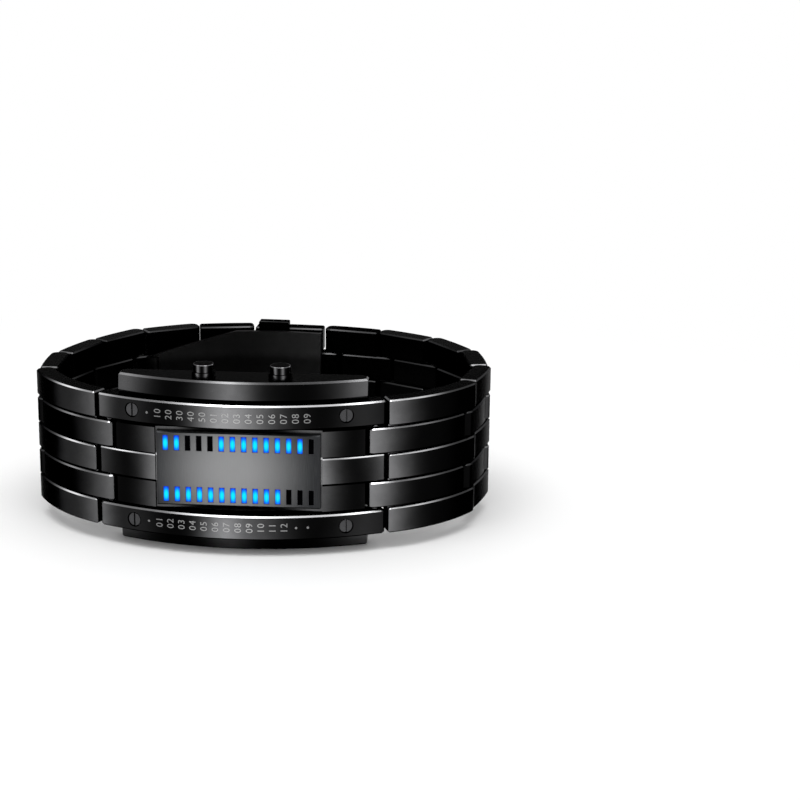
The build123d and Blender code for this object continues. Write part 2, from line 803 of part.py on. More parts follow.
def build_turned(label, places, rings, bores):
    """Turned piece about an upright axis from (low, high, radius) steps, with bored steps taken out."""
    with BuildPart() as turned:
        for low, high, radius in rings:
            with BuildSketch(Plane.XY.offset(low)):
                with Locations(*places):
                    Circle(radius)
            extrude(amount=high - low)
        for low, high, radius in bores:
            with BuildSketch(Plane.XY.offset(low)):
                with Locations(*places):
                    Circle(radius)
            extrude(amount=high - low, mode=Mode.SUBTRACT)
    finish(turned.part, label)


def build_spring(label, place, base, length, radius, wire, turns):
    """Open coil spring standing on its base height."""
    with BuildPart() as spring:
        with BuildLine(Plane((*place, base + wire))) as path:
            Helix((length - 2 * wire) / turns, length - 2 * wire, radius)
        with BuildSketch(Plane(path.line @ 0, z_dir=path.line % 0)):
            Circle(wire)
        sweep(path=path.line, is_frenet=True)
    finish(spring.part, label)


# Pushers with their tubes, springs, seals and clips
tube_low = mid_z + cavity_half_height
collar_low = mid_z + flank_reach
collar_high = collar_low + collar_height
counterbore_z = collar_high - counterbore_floor
cap_low = collar_high - cap_sink
cap_high = cap_low + cap_height
neck_low = counterbore_z + spring_length
stem_low = tube_low - stem_reach
clip_high = tube_low - clip_drop + clip_height
build_turned(
    "pusher_tubes",
    pusher_places,
    ((tube_low, collar_high, tube_radius), (collar_low, collar_high, collar_radius)),
    (
        (tube_low, collar_high, stem_radius + stem_fit),
        (counterbore_z, collar_high, counterbore_radius),
        (collar_high - cap_bore_depth, collar_high, cap_radius + cap_fit),
        (tube_low + seal_height, tube_low + seal_height + seal_groove_height, seal_groove_radius),
    ),
)
with BuildPart() as pusher_seals:
    with Locations(*[(x, y, tube_low + seal_height + seal_groove_height / 2) for x, y in pusher_places]):
        Torus(seal_major, seal_minor)
finish(pusher_seals.part, "pusher_seals")

for side_name, place in (("left", pusher_places[0]), ("right", pusher_places[1])):
    with BuildPart() as pusher:
        steps = (
            (stem_low, neck_low, stem_radius),
            (neck_low, cap_low, neck_radius),
            (cap_low, cap_high, cap_radius),
        )
        for low, high, radius in steps:
            with BuildSketch(Plane.XY.offset(low)):
                with Locations(place):
                    Circle(radius)
            extrude(amount=high - low)
        fillet(pusher.faces().sort_by(Axis.Z)[-1].edges(), radius=cap_round)
        with BuildSketch(Plane.XY.offset(clip_high - clip_height - pin_fit)):
            with Locations(place):
                Circle(stem_radius + overrun)
                Circle(clip_groove_radius, mode=Mode.SUBTRACT)
        extrude(amount=clip_height + 2 * pin_fit, mode=Mode.SUBTRACT)
    finish(pusher.part, f"{side_name}_pusher")
    with BuildPart() as pusher_clip:
        with BuildSketch(Plane.XY.offset(clip_high - clip_height)):
            with Locations(place):
                Circle(clip_radius)
                Circle(clip_groove_radius + pin_fit, mode=Mode.SUBTRACT)
            with Locations((place[0], place[1] + clip_radius)):
                Rectangle(clip_opening, 2 * clip_radius, mode=Mode.SUBTRACT)
        extrude(amount=clip_height)
    finish(pusher_clip.part, f"{side_name}_pusher_clip")
    build_spring(
        f"{side_name}_pusher_spring",
        place,
        counterbore_z,
        spring_length,
        spring_radius,
        spring_wire,
        spring_turns,
    )

# Clasp: curved blade and fold arm about one centre, joined by the fold pin
blade_start = bearing_of(blade_centre, fold_point)
blade_stop = bearing_of(blade_centre, blade_end)
arm_stop = bearing_of(blade_centre, left_end)
relief = knuckle_radius + knuckle_gap
with BuildPart() as clasp_blade:
    with BuildSketch(Plane.XY.offset(mid_z - blade_wide)):
        add(strip(blade_centre, blade_radius, blade_thickness, blade_start, blade_stop))
    extrude(amount=2 * blade_wide)
    with BuildSketch(Plane.XZ.offset(-crest_y)):
        with BuildLine():
            start_x = fold_point[0] - relief
            taper_x = fold_point[0] + blade_taper_length
            stop_x = right_end[0]
            Polyline(
                (start_x, mid_z + blade_narrow),
                (taper_x, mid_z + blade_wide),
                (stop_x, mid_z + blade_wide),
                (stop_x, mid_z - blade_wide),
                (taper_x, mid_z - blade_wide),
                (start_x, mid_z - blade_narrow),
                close=True,
            )
        make_face()
    extrude(amount=-2 * blade_radius, mode=Mode.INTERSECT)
    with BuildSketch(Plane.XY.offset(mid_z - centre_knuckle_reach - knuckle_gap)):
        with Locations(fold_point):
            Circle(relief)
    extrude(amount=2 * (centre_knuckle_reach + knuckle_gap), mode=Mode.SUBTRACT)
    for low in (centre_knuckle_reach + knuckle_gap, -blade_narrow):
        with BuildSketch(Plane.XY.offset(mid_z + low)):
            with Locations(fold_point):
                Circle(knuckle_radius)
        extrude(amount=blade_narrow - centre_knuckle_reach - knuckle_gap)
    with BuildSketch(Plane.XY.offset(mid_z - blade_narrow)):
        with Locations(fold_point):
            Circle(fold_pin_radius + hinge_fit)
    extrude(amount=2 * blade_narrow, mode=Mode.SUBTRACT)
finish(clasp_blade.part, "clasp_blade")

with BuildPart() as fold_arm:
    with BuildSketch(Plane.XY.offset(mid_z - arm_half_width)):
        add(strip(blade_centre, arm_radius, arm_thickness, blade_start, arm_stop))
    extrude(amount=2 * arm_half_width)
    for low in (centre_knuckle_reach, -arm_half_width - overrun):
        with BuildSketch(Plane.XY.offset(mid_z + low)):
            with Locations(fold_point):
                Circle(relief)
        extrude(amount=arm_half_width - centre_knuckle_reach + overrun, mode=Mode.SUBTRACT)
    with BuildSketch(Plane.XY.offset(mid_z - centre_knuckle_reach)):
        with Locations(fold_point):
            Circle(knuckle_radius)
    extrude(amount=2 * centre_knuckle_reach)
    lug_plane = left_planes[-1]
    for row in (1, row_count - 2):
        with BuildSketch(lug_plane.offset(row_low(row))) as lug:
            with Locations((link_chord, -(arm_gap + arm_thickness) / 2)):
                Rectangle(2 * end_tip_reach, 2 * half_thickness + arm_gap + arm_thickness)
            fillet(lug.vertices().group_by(Axis.Y)[-1], radius=end_tip_round)
        extrude(amount=row_height)
    with BuildSketch(Plane.XY.offset(mid_z - arm_half_width - overrun)):
        with Locations(left_end):
            Circle(pin_radius + hinge_fit)
    extrude(amount=2 * (arm_half_width + overrun), mode=Mode.SUBTRACT)
    with BuildSketch(Plane.XY.offset(mid_z - arm_half_width)):
        with Locations(fold_point):
            Circle(fold_pin_radius + pin_fit)
    extrude(amount=2 * arm_half_width, mode=Mode.SUBTRACT)
finish(fold_arm.part, "fold_arm")
build_pin("fold_pin", (fold_point,), fold_pin_radius, mid_z - arm_half_width, mid_z + arm_half_width)

# Latch housing: three full rows high over the blade, hung on the last right hinge pin
blade_top_radius = blade_radius + blade_thickness / 2 + housing_gap
housing_stop = latch_chord - wall_reach
button_depth = (half_thickness - blade_depth) / 2
pocket_wide = button_width + 2 * (button_shoulder + pocket_play)
pocket_top = button_depth + button_thickness / 2 + pocket_play
pocket_length = half_width - button_wall - centre_wall / 2
with BuildPart() as latch_housing:
    for row in range(row_count):
        stop = latch_chord + open_tip_reach if row % 2 else housing_stop
        round_radius = open_tip_round if row % 2 else wall_round
        with BuildSketch(latch_plane.offset(row_low(row))) as row_plan:
            with BuildLine():
                start = (wall_reach, half_thickness)
                crest = (latch_chord / 2, half_thickness + link_dome)
                ThreePointArc(start, crest, (stop, half_thickness))
                Line((stop, half_thickness), (stop, -half_thickness))
                Line((stop, -half_thickness), (wall_reach, -half_thickness))
                Line((wall_reach, -half_thickness), start)
            make_face()
            fillet(row_plan.vertices().sort_by(Axis.X)[-2:], radius=round_radius)
            fillet(row_plan.vertices().sort_by(Axis.X)[:2], radius=wall_round)
        extrude(amount=row_height)
    chamfer(latch_housing.faces().filter_by(Axis.Z).edges(), length=edge_bevel)
    with BuildSketch(latch_plane.offset(edge_bevel - half_width)):
        with Locations((wall_reach + edge_bevel, -blade_depth)):
            core_length = housing_stop - wall_reach - 2 * edge_bevel
            core_height = half_thickness - latch_row_depth + blade_depth
            Rectangle(core_length, core_height, align=(Align.MIN, Align.MIN))
    extrude(amount=2 * (half_width - edge_bevel))
    with BuildSketch(Plane.XY.offset(mid_z - half_width - overrun)):
        with Locations(blade_centre):
            Circle(blade_top_radius)
    extrude(amount=2 * (half_width + overrun), mode=Mode.SUBTRACT)
    with BuildSketch(Plane.XY.offset(mid_z - half_width)):
        with Locations(right_end):
            Circle(pin_radius + open_pivot_play)
    extrude(amount=2 * half_width, mode=Mode.SUBTRACT)
    for low in (centre_wall / 2, button_wall - half_width):
        with BuildSketch(latch_plane.offset(low)):
            with Locations((button_offset, pocket_top)):
                Rectangle(pocket_wide, blade_depth + pocket_top, align=(Align.CENTER, Align.MAX))
        extrude(amount=pocket_length, mode=Mode.SUBTRACT)
    with BuildSketch(latch_plane.offset(-half_width)):
        with Locations((button_offset, button_depth)):
            Rectangle(button_width + 2 * button_fit, button_thickness + 2 * button_fit)
    extrude(amount=button_wall, mode=Mode.SUBTRACT)
    with BuildSketch(latch_plane.offset(half_width - button_wall)):
        with Locations((button_offset, button_depth)):
            Rectangle(button_width + 2 * button_fit, button_thickness + 2 * button_fit)
    extrude(amount=button_wall, mode=Mode.SUBTRACT)
finish(latch_housing.part, "latch_housing")

# Release buttons on both edges of the housing, each on its own spring
button_inner = half_width - button_wall - button_body
for name, direction in (("upper", 1), ("lower", -1)):
    with BuildPart() as button:
        body_low = min(direction * button_inner, direction * (button_inner + button_body))
        head_low = min(direction * button_inner, direction * (half_width + button_proud))
        with BuildSketch(latch_plane.offset(body_low)):
            with Locations((button_offset, button_depth)):
                Rectangle(button_width + 2 * button_shoulder, button_thickness)
        extrude(amount=button_body)
        with BuildSketch(latch_plane.offset(head_low)):
            with Locations((button_offset, button_depth)):
                Rectangle(button_width, button_thickness)
        extrude(amount=half_width + button_proud - button_inner)
        outer_face = button.faces().filter_by(Axis.Z).sort_by(Axis.Z)[-1 if direction > 0 else 0]
        fillet(outer_face.edges(), radius=button_round)
    finish(button.part, f"{name}_button")
    place = in_plan(latch_plane, button_offset, button_depth)
    build_spring(
        f"{name}_button_spring",
        place,
        mid_z + min(direction * centre_wall / 2, direction * button_inner),
        button_inner - centre_wall / 2,
        release_spring_radius,
        release_spring_wire,
        release_spring_turns,
    )
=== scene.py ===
"""Looks of a light-display wristwatch: finishes, rail numerals, window rims, stage, lights and camera."""
import logging
import math
from dataclasses import dataclass, replace
from enum import Enum
from functools import lru_cache
from typing import Any, Dict, List, Optional, Sequence, Tuple, Union

import bpy
from mathutils import Matrix, Vector


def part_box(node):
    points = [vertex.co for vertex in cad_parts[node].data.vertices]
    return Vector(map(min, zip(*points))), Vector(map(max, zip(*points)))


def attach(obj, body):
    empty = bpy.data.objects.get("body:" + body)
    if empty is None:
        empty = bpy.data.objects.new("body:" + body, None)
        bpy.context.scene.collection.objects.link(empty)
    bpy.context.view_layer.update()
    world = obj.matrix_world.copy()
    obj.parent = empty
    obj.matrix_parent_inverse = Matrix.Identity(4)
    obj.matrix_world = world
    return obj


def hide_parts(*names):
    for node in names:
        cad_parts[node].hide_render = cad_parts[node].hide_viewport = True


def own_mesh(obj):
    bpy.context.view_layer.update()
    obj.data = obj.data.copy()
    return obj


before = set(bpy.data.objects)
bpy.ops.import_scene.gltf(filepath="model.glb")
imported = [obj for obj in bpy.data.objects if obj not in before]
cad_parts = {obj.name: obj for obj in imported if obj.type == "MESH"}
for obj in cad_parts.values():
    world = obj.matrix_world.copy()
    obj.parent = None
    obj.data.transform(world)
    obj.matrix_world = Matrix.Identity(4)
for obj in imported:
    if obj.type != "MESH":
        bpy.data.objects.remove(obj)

logging.basicConfig(level=logging.INFO, format="%(message)s")
log = logging.getLogger("watch")

Colour = Tuple[float, float, float]
Triple = Tuple[float, float, float]
Span = Tuple[float, float]
Number = Union[float, "Value"]

MM = 0.001
BLACK: Colour = (0.0, 0.0, 0.0)
WHITE: Colour = (1.0, 1.0, 1.0)

# The watch stands on its side: height of its middle above the floor, and the grid of display windows.
WATCH_MIDDLE = 14.56 * MM
WINDOW_COLUMNS = 14
WINDOW_PITCH = 1.872 * MM
WINDOW_ROW_REACH = 4.45 * MM

# Places of a Mix node's sockets when it mixes colours.
MIX_FACTOR, MIX_FIRST, MIX_SECOND, MIX_RESULT = 0, 6, 7, 2


class Value:
    """A number on a shader or geometry socket, which Python's operators turn into Math nodes."""

    def __init__(self, sheet: "NodeSheet", socket: Any) -> None:
        """Keep the sheet the socket is on, and the socket itself."""
        self.sheet = sheet
        self.socket = socket

    def math(self, operation: str, *others: Number) -> "Value":
        """Math node with this value in its first socket and the others after it."""
        return self.sheet.maths(operation, self, *others)

    def __add__(self, other: Number) -> "Value":
        """Sum."""
        return self.math("ADD", other)

    __radd__ = __add__

    def __mul__(self, other: Number) -> "Value":
        """Product."""
        return self.math("MULTIPLY", other)

    __rmul__ = __mul__

    def __sub__(self, other: Number) -> "Value":
        """Difference."""
        return self.math("SUBTRACT", other)

    def __rsub__(self, other: Number) -> "Value":
        """Difference from a plain number."""
        return self.sheet.maths("SUBTRACT", other, self)

    def __truediv__(self, other: Number) -> "Value":
        """Quotient."""
        return self.math("DIVIDE", other)

    def __abs__(self) -> "Value":
        """Size without its sign."""
        return self.math("ABSOLUTE")

    def __neg__(self) -> "Value":
        """The value with its sign changed."""
        return self.math("MULTIPLY", -1.0)


class NodeSheet:
    """A node tree with one method for any node and short ones for what recurs."""

    def __init__(self, tree: Any) -> None:
        """Keep the tree."""
        self.tree = tree

    @classmethod
    def emptied(cls, owner: Any) -> "NodeSheet":
        """Empty the node tree of a material or a world.

        Args:
            owner: the material or the world.

        Returns:
            The sheet over its tree.
        """
        owner.use_nodes = True
        owner.node_tree.nodes.clear()
        return cls(owner.node_tree)

    def node(self, kind: str, settings: Optional[Dict[str, Any]] = None, **inputs: Any) -> Any:
        """Add any node, set it up first, and then fill its sockets.

        Args:
            kind: the node's type.
            settings: attributes of the node, and "stops" for a ramp's places and colours.
            inputs: socket names, with underscores for blanks, or i0, i1 and so on for places.

        Returns:
            The new node.
        """
        made = self.tree.nodes.new(kind)
        for name, value in (settings or {}).items():
            if name == "stops":
                self._set_stops(made.color_ramp, value)
            else:
                setattr(made, name, value)
        for name, value in inputs.items():
            by_place = name[0] == "i" and name[1:].isdigit()
            self.fill(made.inputs[int(name[1:]) if by_place else name.replace("_", " ")], value)
        return made

    @staticmethod
    def _set_stops(ramp: Any, stops: Sequence[Tuple[float, Colour]]) -> None:
        """Give a ramp exactly these stops.

        Args:
            ramp: the node's colour ramp.
            stops: the place and the colour of each.
        """
        while len(ramp.elements) > 1:
            ramp.elements.remove(ramp.elements[-1])
        for index, (place, colour) in enumerate(stops):
            element = ramp.elements[0] if index == 0 else ramp.elements.new(place)
            element.position = place
            element.color = (*colour, 1.0)

    def fill(self, socket: Any, value: Any) -> None:
        """Link something to a socket or set the socket's default.

        Args:
            socket: the socket to fill.
            value: a value, a node whose first output is meant, a socket, or a plain default.
        """
        if isinstance(value, Value):
            value = value.socket
        elif isinstance(value, bpy.types.Node):
            value = value.outputs[0]
        if isinstance(value, bpy.types.NodeSocket):
            self.tree.links.new(value, socket)
        else:
            socket.default_value = value

    def value(self, node: Any, output: Union[int, str] = 0) -> Value:
        """One output of a node as a value."""
        return Value(self, node.outputs[output])

    def axis(self, coords: Any, *names: str) -> List[Value]:
        """Single axes of coordinates or of a normal, as values."""
        parts = self.node("ShaderNodeSeparateXYZ", None, Vector=coords)
        return [self.value(parts, name) for name in names]

    def maths(self, operation: str, *values: Number) -> Value:
        """Math node over numbers and values, in the order of its sockets."""
        sockets = {f"i{place}": value for place, value in enumerate(values)}
        return self.value(self.node("ShaderNodeMath", {"operation": operation}, **sockets))

    def step(self, number: Number, low: float, high: float) -> Value:
        """Smooth step of a number from nought at its low end to one at its high end."""
        smooth = {"interpolation_type": "SMOOTHSTEP"}
        return self.value(self.node("ShaderNodeMapRange", smooth, Value=number, From_Min=low, From_Max=high))

    def blend(self, factor: Number, first: Colour, second: Colour) -> Any:
        """Mix of two colours by a factor.

        Args:
            factor: how much of the second colour shows.
            first: colour for nought.
            second: colour for one.

        Returns:
            The mixed colour's socket.
        """
        made = self.node("ShaderNodeMix", {"data_type": "RGBA"})
        self.fill(made.inputs[MIX_FACTOR], factor)
        self.fill(made.inputs[MIX_FIRST], (*first, 1.0))
        self.fill(made.inputs[MIX_SECOND], (*second, 1.0))
        return made.outputs[MIX_RESULT]


class Surface(NodeSheet):
    """Nodes of a material: the piece's own coordinates, the shader, and what finishes ask of them."""

    def __init__(self, tree: Any) -> None:
        """Add the coordinates, the shader and the output to an empty tree."""
        super().__init__(tree)
        self.coords = self.node("ShaderNodeTexCoord").outputs["Object"]
        self.shader = self.node("ShaderNodeBsdfPrincipled")
        self.node("ShaderNodeOutputMaterial", None, Surface=self.shader)

    def coat(self, **inputs: Any) -> None:
        """Fill the shader's sockets, with underscores for blanks in their names."""
        for name, value in inputs.items():
            self.fill(self.shader.inputs[name.replace("_", " ")], value)

    def make_metal(self, edge_tint: float) -> None:
        """Make the shader a metal, with this tint at grazing angles."""
        self.coat(Metallic=1.0, Specular_Tint=(edge_tint, edge_tint, edge_tint, 1.0))

    def relief(self, height: Value, depth_mm: float, strength: float) -> None:
        """Feed a bump of a given depth into the shader's normal."""
        depth = depth_mm * MM
        self.coat(Normal=self.node("ShaderNodeBump", None, Strength=strength, Distance=depth, Height=height))

    def stretch(self, scale: Triple, turn: Triple = (0.0, 0.0, 0.0)) -> Any:
        """The coordinates drawn out and turned by a Mapping node."""
        return self.node("ShaderNodeMapping", None, Vector=self.coords, Rotation=turn, Scale=scale)

    def noise(self, scale: float, detail: float, roughness: float = 0.5, coords: Any = None) -> Value:
        """Soft noise between nought and one, on the piece's own coordinates or on stretched ones."""
        coords = coords or self.coords
        inputs = {"Vector": coords, "Scale": scale, "Detail": detail, "Roughness": roughness}
        return self.value(self.node("ShaderNodeTexNoise", None, **inputs), "Fac")


class Grain(Enum):
    """How a metal surface was finished."""

    POLISHED = "polished"
    SATIN = "satin"
    BRUSHED_LONG = "brushed along the band"
    BRUSHED_ACROSS = "brushed across the band"
    TURNED = "turned"


GRAIN_STRETCH: Dict[Grain, Triple] = {
    Grain.BRUSHED_LONG: (300.0, 300.0, 30000.0),
    Grain.BRUSHED_ACROSS: (26000.0, 26000.0, 260.0),
    Grain.TURNED: (900.0, 900.0, 24000.0),
}


@dataclass(frozen=True)
class Finish:
    """Common ground of all finishes: a name, and a material that each paints in its own way."""

    name: str

    @lru_cache(maxsize=None)
    def make(self) -> bpy.types.Material:
        """Build the material at its first use.

        Returns:
            The finished material, ready for any piece.
        """
        material = bpy.data.materials.new(self.name)
        self.paint(Surface.emptied(material))
        log.info("finish %s", self.name)
        return material

    def dress(self, *nodes: str) -> None:
        """Put the finish on CAD nodes.

        Args:
            nodes: their names.
        """
        for name in nodes:
            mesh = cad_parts[name].data
            mesh.materials.clear()
            mesh.materials.append(self.make())
        log.info("dressed %s in %s", ", ".join(nodes), self.name)

    def paint(self, sheet: Surface) -> None:
        """Fill the shader's sockets; each finish has its own way."""
        raise NotImplementedError


@dataclass(frozen=True)
class MetalFinish(Finish):
    """Common ground of the worn metals: cloudy gloss, marks of handling and fine hairlines."""

    gloss: float = 0.2
    spread: float = 0.05
    handling_share: float = 0.8
    mark_roughness: float = 0.06
    cloud_scale: float = 90.0
    handling_scale: float = 420.0
    hair_stretch: Triple = (260.0, 260.0, 9000.0)
    hair_turn: Triple = (0.0, 0.5, 0.3)
    hair_span: Span = (0.62, 0.78)
    handling_height: float = 0.25
    mark_height: float = -0.5
    relief_mm: float = 0.004
    relief_strength: float = 0.35

    def wear(self, sheet: Surface) -> Tuple[Value, Value, Value]:
        """The three noises of a worn metal, each between nought and one.

        Args:
            sheet: the material's nodes.

        Returns:
            Clouds, handling and hairlines.
        """
        clouds = sheet.noise(self.cloud_scale, 4.0)
        handling = sheet.noise(self.handling_scale, 5.0, 0.62)
        hairs = sheet.noise(1.0, 2.0, coords=sheet.stretch(self.hair_stretch, self.hair_turn))
        return clouds, handling, hairs

    def roughness(self, clouds: Value, handling: Value, marks: Value) -> Value:
        """Gloss broken by clouds, handling and hairlines."""
        mottle = (clouds - 0.5) * self.spread + (handling - 0.5) * (self.handling_share * self.spread)
        return mottle + self.gloss + marks * self.mark_roughness

    def wear_height(self, handling: Value, marks: Value) -> Value:
        """Height of the marks of handling, with the hairlines cut into it."""
        return handling * self.handling_height + marks * self.mark_height


@dataclass(frozen=True)
class SteelFinish(MetalFinish):
    """Plated or bare steel with an optional grain and, where asked, painted shade that darkens it low down
    and to the left.
    """

    tint: Colour = (0.03, 0.03, 0.034)
    rub: Colour = (0.05, 0.05, 0.056)
    cloud_tone: float = 0.9
    handling_tone: float = 0.6
    grain: Grain = Grain.POLISHED
    line_roughness: float = 0.22
    line_height: float = 1.6
    blast_scale: float = 9000.0
    blast_roughness: float = 0.12
    blast_height: float = 1.2
    edge_tint: float = 0.5
    shade_rise_span: Span = (0.0, 0.0)
    low_shade_share: float = 0.35
    rise_gain: float = 0.65
    shade_cross_span: Span = (0.0, 0.0)
    left_shade_share: float = 0.6
    cross_gain: float = 1.3

    def paint(self, sheet: Surface) -> None:
        """Metal with cloudy gloss, hairlines and, where asked, a drawn grain and painted shade.

        Args:
            sheet: the material's nodes.
        """
        clouds, handling, hairs = self.wear(sheet)
        low, high = self.hair_span
        marks = sheet.value(sheet.node("ShaderNodeMapRange", None, Value=hairs, From_Min=low, From_Max=high))
        tone = (clouds - 0.5) * self.cloud_tone + (handling - 0.5) * self.handling_tone + 0.5
        tone = tone.math("MINIMUM", 1.0)
        colour = sheet.blend(tone, self.tint, self.rub)
        # Painted shade: where asked, the tone darkens towards the bottom and towards the left.
        if any(self.shade_rise_span):
            across, up = sheet.axis(sheet.coords, "X", "Z")
            rise = sheet.step(up, *self.shade_rise_span) * self.rise_gain + self.low_shade_share
            cross = sheet.step(across, *self.shade_cross_span) * self.cross_gain + self.left_shade_share
            grey = (tone * (self.rub[0] - self.tint[0]) + self.tint[0]) * rise * cross
            colour = sheet.blend(grey, BLACK, WHITE)
        sheet.coat(Base_Color=colour)
        sheet.make_metal(self.edge_tint)
        rough = self.roughness(clouds, handling, marks)
        height = self.wear_height(handling, marks)
        if self.grain in GRAIN_STRETCH:
            lines = sheet.noise(1.0, 3.0, 0.6, sheet.stretch(GRAIN_STRETCH[self.grain]))
            rough = rough + (lines - 0.5) * self.line_roughness
            height = height + lines * self.line_height
        elif self.grain is Grain.SATIN:
            blast = sheet.noise(self.blast_scale, 2.0)
            rough = rough + (blast - 0.5) * self.blast_roughness
            height = height + blast * self.blast_height
        sheet.coat(Roughness=rough)
        sheet.relief(height, self.relief_mm, self.relief_strength)


@dataclass(frozen=True)
class Glint:
    """One painted light band on the plating, standing in for a reflection: its bearing and width in degrees,
    and how strong it is.
    """

    angle: float
    spread: float
    strength: float


# Painted light bands of each plating, standing in for reflections of the studio.
BACK_GLINTS = (
    Glint(-90.0, 10.0, 0.05), Glint(92.0, 10.0, 0.05), Glint(-126.0, 14.0, 0.07), Glint(120.0, 14.0, 0.07),
    Glint(-163.0, 12.0, 0.09), Glint(158.0, 14.0, 0.09),
)
LOOP_GLINTS = (Glint(-37.0, 8.5, 0.147), Glint(40.0, 6.5, 0.2), *BACK_GLINTS)
EVEN_ROW_GLINTS = (Glint(-59.5, 5.5, 0.023), Glint(80.0, 7.0, 0.012))
LOOP_EDGE_GLINTS = (Glint(-56.0, 4.5, 0.8), Glint(56.0, 5.5, 0.5))
UPPER_EDGE_GLINTS = (Glint(-44.0, 6.0, 0.15), Glint(40.0, 5.0, 0.55))
LOWER_EDGE_GLINTS = (Glint(40.0, 5.0, 0.5), Glint(0.0, 14.0, 0.3))
SHELF_EDGE_GLINTS = (Glint(-39.0, 6.0, 0.9), Glint(40.0, 6.0, 0.9))
UPPER_RAIL_GLINTS = (
    Glint(-5.5, 6.5, 0.18), Glint(1.0, 10.5, 0.16), Glint(-47.0, 5.0, 0.11), Glint(-34.0, 6.0, 0.014),
    Glint(40.0, 7.0, 0.018),
)
LOWER_RAIL_GLINTS = (
    Glint(-4.5, 5.5, 0.19), Glint(3.0, 10.0, 0.079), Glint(-47.0, 5.0, 0.17), Glint(-34.0, 6.0, 0.014),
    Glint(40.0, 7.0, 0.02),
)
FAIRING_GLINTS = (Glint(-4.0, 7.5, 0.21), Glint(-44.0, 8.5, 0.085), Glint(47.0, 10.0, 0.12), *BACK_GLINTS)
SHELF_GLINTS = (
    Glint(-24.5, 5.5, 0.085), Glint(25.0, 5.5, 0.09), Glint(-52.0, 7.0, 0.03), Glint(50.0, 6.0, 0.05),
)
PUSHER_GLINTS = (
    Glint(-24.0, 9.0, 0.16), Glint(20.0, 8.0, 0.13), Glint(74.0, 7.0, 0.2), Glint(-150.0, 12.0, 0.12),
    Glint(130.0, 14.0, 0.12),
)


